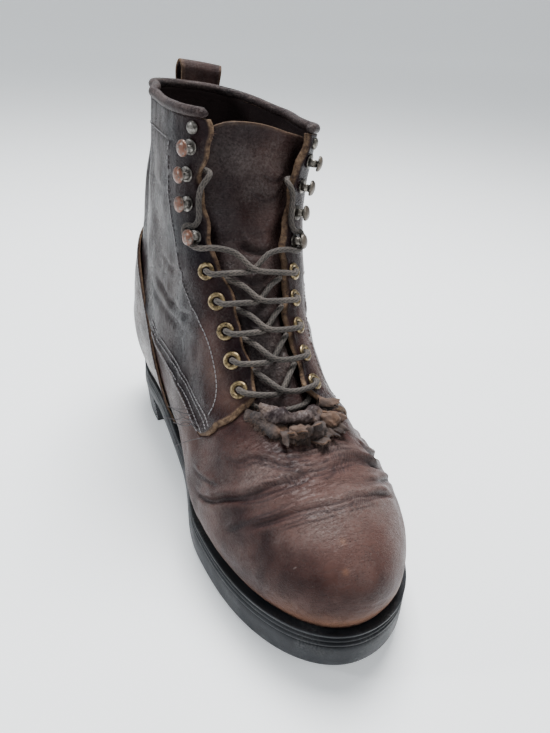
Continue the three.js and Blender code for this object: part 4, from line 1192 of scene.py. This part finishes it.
def slab(rows, stations=300, fromU=0, toU=.5, across=30, grooves=(), depth=0):
    # stations across the sole, each a closed ring: under, up the outer side, over, down the inner;
    # rows of ledge and height go round the edge, and grooves lift the underside
    u = np.linspace(fromU, toU, stations)

    def edgeRow(side, ledge, height):  # the outline moved out by a ledge and set at a height
        row = soleEdge(u if side > 0 else 1 - u, ledge)
        row[:, 2] = height(row[:, 1])
        return row

    rings = {side: np.stack([edgeRow(side, *row) for row in rows], 1) for side in (1, -1)}
    t = np.linspace(0, 1, across)[None, :, None]
    bottom = mix(rings[-1][:, :1], rings[1][:, :1], t)
    top = mix(rings[1][:, -1:], rings[-1][:, -1:], t)
    if len(grooves):
        line = bottom[..., 1] - bottom[..., 0] * np.tan(sole["grooveSlant"])
        away = np.abs(line[..., None] - np.asarray(grooves)).min(-1)
        fade = .35 + .65 * smooth(np.minimum(t, 1 - t)[..., 0], 0, .08)
        half = sole["grooveWidth"] / 2
        bottom[..., 2] += depth * (1 - smooth(away, half - .6, half + .5)) * fade
    ring = np.concatenate([bottom[:, :-1], rings[1][:, :-1], top[:, :-1], rings[-1][:, :0:-1]], 1)
    ids = np.arange(ring.shape[0] * ring.shape[1]).reshape(ring.shape[:2])
    quads = [gridQuads(ids, True)[:, ::-1]]
    for end, flip in ((0, 1), (-1, -1)):  # flat ends, where the slab doesn't run to a tip
        under, over = ids[end, :across], ids[end, across + len(rows) - 2:2 * across + len(rows) - 2][::-1]
        strip = np.stack([under[:-1], under[1:], over[1:], over[:-1]], -1)
        if (fromU if end == 0 else toU) not in (0, .5):
            quads.append(strip[:, ::flip])
    return dict(points=ring.reshape(-1, 3), quads=np.concatenate(quads), masks={})


def makeSole():  # outsole, heel, welt and insole, each a slab of its own rows
    def top(y):  # a gap under the welt
        return bedHeight(y) - sole["welt"] - sole["gap"]

    def band(share):  # heights at a share of the way from underside to top
        return lambda y: mix(outsoleUnderside(y), top(y), share)
    out = sole["ledge"]
    rows = [(out - 1.6, outsoleUnderside), (out - 1.0, band(.04)), (out - .35, band(.11)), (out, band(.22)),
            (out + .1, band(.5)), (out, band(.8)), (out - .5, band(.93)), (out - 1.3, top)]
    places = sole["firstLug"] + sole["lugPitch"] * np.arange(sole["lugs"])
    shape = slab(rows, grooves=places, depth=sole["grooveDepth"])
    makePiece("outsoleRubber", shape, rubber, ["outsole"])

    def heelTop(y):  # a gap under the outsole
        return outsoleUnderside(y) - sole["gap"]

    def heelBand(share):  # heights at a share of the heel's height
        return lambda y: share * heelTop(y)
    foot = out - sole["heelTaper"]
    rows = [(foot, heelBand(0)), (foot + .7, heelBand(.03)), (foot + 1, heelBand(.12)),
            (out - 2, heelBand(.5)), (out - .7, heelBand(.92)), (out - 1.0, heelTop)]
    shape = slab(rows, 150, sole["heelBreast"], grooves=sole["heelGrooves"], depth=sole["grooveDepth"])
    makePiece("heelRubber", shape, rubber, ["heel"])

    rows = [(out - 1.2, lambda y: bedHeight(y) - sole["welt"])]
    for step in np.linspace(.06, .94, 22):  # a wavy edge, cut by two grooves
        down = sole["welt"] * (1 - step)
        cut = sum(np.exp(-((down - g) / .75) ** 2) for g in sole["weltGrooves"])
        rows.append((out - 1.5 * cut, lambda y, down=down: bedHeight(y) - max(down, .6)))
    rows.append((out - 1.2, lambda y: bedHeight(y) - .45))
    rows.append((0, lambda y: bedHeight(y) - .6))
    makePiece("weltRubber", slab(rows, across=12), rubber, ["welt"])

    edge = -last["leather"] - 1
    rows = [(edge, bedHeight), (edge, lambda y: bedHeight(y) + 2.4),
            (edge - .8, lambda y: bedHeight(y) + 3)]
    shape = slab(rows, 200, across=24)
    patch = softNoise(shape["points"], 18, 81)
    plain = np.zeros(len(patch))
    shape["masks"] = dict(tone=.6 + .2 * patch, pale=plain + .2, rust=.35 + .2 * patch, crease=plain,
                          raw=plain + .25, inside=plain)
    makePiece("insoleBoard", shape, leatherTrim, ["insole"])


makeSole()
print("sole ready")

ring = dict(bore=2.3, flange=5.0, crown=1.15, barrel=2.85, washer=3.9, behind=-3.5)
hook = dict(cap=4.4, capHeight=5.1, dome=2.1, tilt=.25, neckWidth=2.2)


def eyeletShape():  # a half-round rolled ring, its barrel and the flange behind, as one closed profile
    a = np.linspace(np.pi, 0, 12)
    middle, half = (ring["bore"] + ring["flange"]) / 2, (ring["flange"] - ring["bore"]) / 2
    crown = np.stack([middle + half * np.cos(a), .55 + ring["crown"] * np.sin(a)], -1)
    back = [(ring["bore"], ring["behind"]), (ring["washer"], ring["behind"]),
            (ring["washer"], ring["behind"] + .4), (ring["barrel"], ring["behind"] + .6),
            (ring["barrel"], .45)]
    return turned(np.concatenate([back, crown]), 40, closed=True)


def hookShape(side):  # foot disc, bent neck and a domed cap, tilted open away from the throat
    foot = turned([(0, .6), (3.9, .6), (4.2, .85), (4.1, 1.15), (3.4, 1.4), (0, 1.45)], 28, crown=[0] * 6)
    bend = [(-1.2, 1.0), (-2.8, 2.3), (-3.0, 4.0), (-1.4, 5.6)]
    neck = tube(through([(side * x, 0, z) for x, z in bend], 16), 1.0, 12, crown=0)
    neck["points"][:, 1] *= hook["neckWidth"]
    a = np.linspace(0, np.pi / 2, 9)[1:]
    dome = [(hook["cap"] * np.cos(k), hook["capHeight"] + .7 + hook["dome"] * np.sin(k)) for k in a]
    profile = [(0, hook["capHeight"] + .5), (3.4, hook["capHeight"] + .35), (4.2, hook["capHeight"]),
               (hook["cap"] + .05, hook["capHeight"] + .3), (hook["cap"], hook["capHeight"] + .8)] + dome
    cap = turned(profile, 32, crown=[0, 0, 0, 0, .35, .8] + [1] * 7)
    x, z = cap["points"][:, 0].copy(), cap["points"][:, 2] - hook["capHeight"]
    turn = side * hook["tilt"]
    cap["points"][:, 0] = x * np.cos(turn) + z * np.sin(turn) + side * .5
    cap["points"][:, 2] = z * np.cos(turn) - x * np.sin(turn) + hook["capHeight"] + .5
    return joined(foot, neck, cap)


def rivetShape():  # a quarter circle swung round
    a = np.linspace(0, np.pi / 2, 8)
    dome = [(3.4 * np.cos(k), .5 + 1.5 * np.sin(k)) for k in a]
    return turned([(0, .1), (3.2, .1)] + dome, 28, crown=[0] * 10)


def makeFixings():  # one shape of each kind, placed at its heights along both facings
    kinds = dict(eyelet=fixings["eyelets"], hook=fixings["hooks"], rivet=(fixings["rivet"],))
    for side, word in ((1, "outer"), (-1, "inner")):
        for kind, heights in kinds.items():
            for number, height in enumerate(heights, 1):
                v = levelAt(height)
                u = insetU(v, side, fixings["inset"])
                shape = dict(eyelet=eyeletShape, rivet=rivetShape).get(kind, lambda: hookShape(side))()
                made = placed(shape, u, v, 0 if kind != "rivet" else fixings["lift"])
                finish = dict(eyelet=brass).get(kind, hookBronze if side > 0 else hookCopper)
                makePiece(f"{kind}{word.title()}{number}", made, finish,
                          [f"{kind}_{word}_{number}"])


makeFixings()
print("fixings ready")

sideSeams = [((-.188, 2.90), (-.2, 2.90), (-.22, 2.96), (-.24, 3.0), (-.273, 3.1), (-.31, 3.25)),
             ((-.178, 3.0), (-.2, 3.09), (-.218, 3.16), (-.246, 3.14), (-.281, 3.18), (-.31, 3.3)),
             ((-.165, 3.2), (-.187, 3.38), (-.218, 3.44), (-.27, 3.38), (-.31, 3.45)),
             ((-.156, 3.32), (-.168, 3.46), (-.191, 3.54), (-.226, 3.59), (-.27, 3.55), (-.31, 3.6))]
staySeam = ((-.152, 3.5), (-.128, 3.83), (-.117, 4.05), (-.11, 4.33), (-.108, 4.66), (-.118, 4.92),
            (-.137, 5.12), (-.144, 5.34), (-.146, 5.57), (-.152, 6.0), (-.152, 6.4), (-.150, 6.64))


def mirrored(line, shift=-.008):  # the same line on the other side, moved round by a shift
    return tuple((-u + shift, v) for u, v in line)


def makeSeams():  # rows on both quarters, under the collar, along the counter and on the strap
    rows = []
    for side in (1, -1):
        for index, line in enumerate([*sideSeams, staySeam]):
            line = line if side > 0 else mirrored(line)
            rows.append(stitchRow(line, seamHeight, seed=index + 10 * side + 20))
    top = np.linspace(.16, .84, 14)
    rows.append(stitchRow([(u, 6.68) for u in top], seamHeight, pitch=2.4, seed=40))
    across = np.linspace(-.93, .93, 40)
    for inset in (.10, .19):
        line = [(.5 + a * counter["reach"], counterTop(a) - inset) for a in across]
        rows.append(stitchRow(line, 2.35, seed=41))
    left, right = .5 - .42 * pull["span"], .5 + .42 * pull["span"]  # a box of stitches on the strap
    for u in (left, right):
        rows.append(stitchRow([(u, overCollar(-6)), (u, overCollar(-27))], 2.85, pitch=2.2, seed=43))
    rows.append(stitchRow([(u, overCollar(-26)) for u in (left, right)], 2.85, pitch=2.2, seed=44))
    makePiece("stitches", joined(*rows), seamThread)


def makeLooseThreads():  # ends of seam thread that stick out behind the quarters' lower corner
    random = np.random.default_rng(9)
    shapes = []
    for k in range(9):
        start = off(np.asarray(-.176 - .004 * k), 2.95 + .05 * (k % 4), 1.2)
        reach = random.uniform(8, 17)
        aim = unit(np.array([-.9, .25 + .3 * random.normal(), .25 + .35 * random.normal()]))
        middle = start + aim * reach * .5 + random.normal(0, 1.4, 3)
        path = through([start, middle, start + aim * reach + random.normal(0, 1.2, 3)], 26)
        shapes.append(tube(path, .24, 6, strand=.12))
    makePiece("looseThreads", joined(*shapes), seamThread)


makeSeams()
makeLooseThreads()
print("seams ready")

torn = dict(line=((-.066, 4.02), (-.048, 3.93), (-.022, 3.88), (.004, 3.86), (.028, 3.82), (.052, 3.78),
                  (.074, 3.72)),
            upper=((-.05, 4.16), (-.03, 4.06), (-.005, 4.02), (.02, 4.0), (.04, 3.98), (.06, 3.93)),
            tan=[((-14, -72, 97), (4, 4, 5), .9), ((4, -77, 92), (7, 5, 5), .35)],
            balls=[((.024, 3.80, 4), (5, 4, 4), .05, 201), ((.052, 3.80, 4.5), (4.5, 5.5, 4), .4, 205),
                   ((-.006, 3.84, 5), (7, 4.5, 2.6), .25, 211)],
            curls=[(.046, 4.05, 3.2, 10, 3.9, 3), (.050, 3.86, 2.6, 9, 3.9, 5)], curlAxis=(.86, -.36, -.1),
            flapsAt=(-.062, -.050, -.040, -.030, -.020, -.010, 0, .010, .020, .031, .042, .053, .064),
            hairs=900, rimHairs=700)


def lump(uv, height, wide, tall, rough, seed, count=170, sides=56):
    # a squashed roll along a line on the form, its radius pushed by three sizes of noise
    uv = through(np.asarray(uv, float), count)
    path = off(uv[:, 0], uv[:, 1], height)
    normal = bootNormal(uv[:, 0], uv[:, 1])
    along = unit(np.gradient(path, axis=0))
    down = np.cross(along, normal)
    ends = np.sqrt(np.clip(np.sin(np.linspace(.02, .98, count) * np.pi), 0, 1))[:, None]
    angle = np.linspace(0, 2 * np.pi, sides, endpoint=False)[None]
    base = (path[:, None] + down[:, None] * (np.cos(angle) * wide * ends)[..., None]
            + normal[:, None] * (np.sin(angle) * tall * ends)[..., None])
    push = softNoise(base, 7, seed) * rough + softNoise(base, 3, seed + 1) * rough * .45
    push += softNoise(base, 1.3, seed + 2) * rough * .2
    out = unit(base - path[:, None])
    return base + out * (push * ends)[..., None], out


def flap(u, v, width, length, lift, curl, seed):
    # a torn tongue of hide: it leaves the form at an angle and bends by another, with a ragged end
    start = off(np.asarray(u), v, 1.0)
    normal = bootNormal(u, v)
    side = unit(boot(u + .01, v) - boot(u - .01, v))
    down = -unit(np.cross(normal, side))
    down = down * np.sign(-down[2])
    across, way = np.linspace(.5, -.5, 30)[None], np.linspace(0, 1, 34)[:, None]
    angle = lift + curl * way
    step = np.concatenate([np.zeros((1, 2)), np.stack([np.cos(angle), np.sin(angle)], -1)[:-1, 0]])
    path = np.cumsum(step, 0) / (len(way) - 1) * length
    ragged = 1 + .30 * softNoise(np.stack([across * width, 0 * across, 0 * across], -1), 2.4, seed)
    ragged *= 1 - 1.1 * np.abs(across) ** 3
    middle = start + side * (across * width * (1 - .25 * way))[..., None]
    sheet = middle + (path[:, None, :1] * down + path[:, None, 1:] * normal) * ragged[..., None]
    sheet = sheet + softNoise(sheet, 4, seed + 1)[..., None] * normal * 1.1
    sheet = sheet + softNoise(sheet, 1.6, seed + 2)[..., None] * normal * .35
    along, rise = np.gradient(sheet, axis=1), np.gradient(sheet, axis=0)
    out = unit(np.cross(along, rise))
    patch = softNoise(sheet, 3, seed)
    made = shell(sheet, sheet - out * 1.3, rim=3, bulge=.2, rust=.15 + .3 * patch, dark=.45 + .4 * patch)
    masks = made["masks"]
    edge = masks["raw"]
    made["masks"] = dict(rust=np.clip(masks["rust"] + .4 * edge, 0, 1),
                         dark=np.clip(masks["dark"] - .7 * edge, 0, 1))
    return made, made["points"][edge > .5]


def wadded(place, sizes, seed, count=60, sides=48):
    # a crumpled ball at u, v and height: an ellipsoid across, down and off the form, pushed by noise
    u, v, height = place
    middle, normal = off(np.asarray(u), v, height), bootNormal(u, v)
    across = unit(boot(u + .01, v) - boot(u - .01, v))
    axes = np.stack([across, np.cross(across, normal), normal]) * np.asarray(sizes, float)[:, None]
    polar = np.linspace(0, np.pi, count)[:, None]
    angle = np.linspace(0, 2 * np.pi, sides, endpoint=False)[None]
    along = np.repeat(np.cos(polar), sides, 1)
    ball = np.stack([along, np.sin(polar) * np.cos(angle), np.sin(polar) * np.sin(angle)], -1)
    base = ball @ axes + middle
    out = unit(base - middle)
    push = softNoise(base, 3.4, seed) * 1.6 + softNoise(base, 1.4, seed + 1) * .6
    return base + out * push[..., None]


def curledStrip(start, axis, length, radius, seed):
    # a torn strip rolled to a hollow tube: a spiral sheet along an axis, with ragged ends
    axis = unit(np.asarray(axis, float))
    side = unit(np.cross(axis, (0, 0, 1.0)))
    up = np.cross(side, axis)
    turn = np.linspace(.2, 1.92 * np.pi, 54)[None]
    way = np.linspace(0, 1, 30)[:, None]
    ragged = 1 + .16 * np.sin(3 * turn + seed) + .08 * np.sin(7 * turn)

    def skin(inward):  # a spiral swept along the axis, smaller by inward
        r = radius * (.8 + .10 * turn) - inward + .35 * np.sin(6 * way + turn)
        return (start + axis * (way * length * ragged)[..., None] + side * (r * np.cos(turn))[..., None]
                + up * (r * np.sin(turn))[..., None])
    outer, inner = skin(0), skin(1.3)
    patch = softNoise(outer, 3, seed)
    shape = shell(inner, outer, rim=3, bulge=.2, rust=.25 + .3 * patch, dark=.2 + .2 * patch)
    shape["masks"] = dict(rust=np.clip(shape["masks"]["rust"] + .5 * shape["masks"]["raw"], 0, 1),
                          dark=np.clip(shape["masks"]["dark"] + (1 - shape["masks"]["inside"]) * .6
                                       - .6 * shape["masks"]["raw"], 0, 1))
    return shape


def makeTornThroat():  # a roll, balls, a wad, folded flaps, curled strips and hairs along the torn line
    lower, out = lump(torn["line"], 1.6, 4.6, 2.6, 2.4, 91)
    patch = softNoise(lower, 6, 95)
    rust = np.clip(spots(lower, torn["tan"]) * (1 + patch), 0, 1)
    dark = np.clip(.35 + .9 * softNoise(lower, 4, 96), 0, .9) * (1 - rust)
    shapes = [grid(lower, wrapColumns=True, rust=rust, dark=dark)]
    rims = []
    for place, sizes, tan, seed in torn["balls"]:
        ball = wadded(place, sizes, seed)
        shapes.append(grid(ball, wrapColumns=True, rust=tan, dark=.15 + .3 * softNoise(ball, 3, seed)))
    wad, _ = lump(torn["upper"], 2.2, 5.4, 3.6, 3.0, 101)
    crumple = softNoise(wad, 5, 104)
    # crease paints shade in patches where the crumple noise is low
    wadShape = grid(wad, wrapColumns=True, tone=.25 + .2 * crumple, pale=np.clip(.35 + .4 * crumple, 0, .8),
                    rust=0, crease=np.clip(-crumple, 0, .6), raw=np.clip(crumple - .3, 0, .5), inside=0)
    makePiece("crumpledLeather", wadShape, leatherTongue)
    random = np.random.default_rng(17)
    for u in torn["flapsAt"]:
        v = np.interp(u, *np.array(torn["line"]).T) + random.uniform(-.03, .08)
        made, rim = flap(u, v, random.uniform(8, 13), random.uniform(8, 13), random.uniform(.2, 1.3),
                         random.uniform(-4.2, 2.6), random.integers(300, 400))
        shapes.append(made)
        rims.append(rim)
    for u, v, height, length, radius, seed in torn["curls"]:
        shapes.append(curledStrip(off(np.asarray(u), v, height), torn["curlAxis"], length, radius, seed))
    makePiece("tornEdge", joined(*shapes), tornNap)
    random = np.random.default_rng(12)
    count = torn["hairs"]
    picks = (random.integers(4, len(lower) - 4, count), random.integers(0, lower.shape[1], count))
    directions = unit(out[picks] + random.normal(0, .6, (count, 3)))
    lengths = random.uniform(1.2, 4.5, count) * (1 + (random.random(count) > .93) * 1.3)
    rims = np.concatenate(rims)
    rims = rims[random.integers(0, len(rims), torn["rimHairs"])]
    roots = np.concatenate([lower[picks], rims])
    down = unit(random.normal(0, .6, rims.shape) + np.array([.1, -.7, -.3]))
    lengths = np.concatenate([lengths, random.uniform(1.0, 4.0, len(rims))])
    makePiece("tornFibres", hairs(roots, np.concatenate([directions, down]), lengths, rust=.3, dark=.1),
              tornNap, weld=False)


def makeEdgeFuzz():  # short fibres along the facings' raw edges
    random = np.random.default_rng(14)
    roots, directions = [], []
    for side in (1, -1):
        v = random.uniform(4.3, 6.95, 260)
        u = insetU(v, side, facingWave(v, side) + random.uniform(-.1, 2.0, len(v)))
        roots.append(off(u, v, random.uniform(-1.2, .2, len(v))))
        inwards = unit(off(insetU(v, side, -6), v, 0 * v) - off(insetU(v, side, 0), v, 0 * v))
        directions.append(unit(inwards + bootNormal(u, v) * .4 + random.normal(0, .5, (len(v), 3))))
    roots, directions = np.concatenate(roots), np.concatenate(directions)
    makePiece("edgeFuzz", hairs(roots, directions, random.uniform(.5, 1.8, len(roots)), .05, rust=.6, dark=0),
              tornNap, weld=False)


makeTornThroat()
makeEdgeFuzz()
print("torn throat ready")

studio = dict(floor=(.86, .88, .89), sky=(.90, .94, .97), skyStrength=.40, glow=.42, half=5, cove=1.6, wall=4)


def makeLight(name, place, aim, size, power, colour=(1, 1, 1)):  # an area lamp turned to its aim
    light = bpy.data.lights.new(name, "AREA")
    light.size, light.energy, light.color = size, power, colour
    lamp = bpy.data.objects.new(name, light)
    lamp.location = place
    lamp.rotation_euler = (Vector(aim) - Vector(place)).to_track_quat("-Z", "Y").to_euler()
    bpy.context.scene.collection.objects.link(lamp)


def makeStudio():  # a pale floor, an even sky and three lamps
    mesh = bpy.data.meshes.new("floor")  # flat, then a quarter circle up into a wall behind
    turn = np.linspace(0, np.pi / 2, 16)
    cove, half = studio["cove"], studio["half"]
    profile = [(-half, 0)] + [(half - cove + cove * np.sin(t), cove - cove * np.cos(t)) for t in turn]
    profile.append((half, studio["wall"]))
    points = [(x, y, z) for y, z in profile for x in (-half, half)]
    mesh.from_pydata(points, [], [(k, k + 1, k + 3, k + 2) for k in range(0, 2 * len(profile) - 2, 2)])
    mesh.polygons.foreach_set("use_smooth", np.ones(len(mesh.polygons), bool))
    floor = bpy.data.objects.new("floor", mesh)
    material, shader = newMaterial("paleFloor", .75)[::2]
    shader.inputs["Base Color"].default_value = (*studio["floor"], 1)
    shader.inputs["Emission Color"].default_value = (*studio["sky"], 1)
    shader.inputs["Emission Strength"].default_value = studio["glow"]
    mesh.materials.append(material)
    bpy.context.scene.collection.objects.link(floor)
    world = bpy.data.worlds.new("studio")
    world.use_nodes = True
    world.node_tree.nodes["Background"].inputs["Color"].default_value = (*studio["sky"], 1)
    world.node_tree.nodes["Background"].inputs["Strength"].default_value = studio["skyStrength"]
    bpy.context.scene.world = world
    makeLight("topLight", (.15, .25, 1.25), (0, 0, .1), .6, 38)
    makeLight("leftLight", (-1.2, .25, .65), (0, .05, .15), .16, 6, (.93, .96, 1))
    makeLight("frontLight", (.5, -1.3, 1.1), (0, -.05, .08), .8, 5)


makeStudio()

print("done")
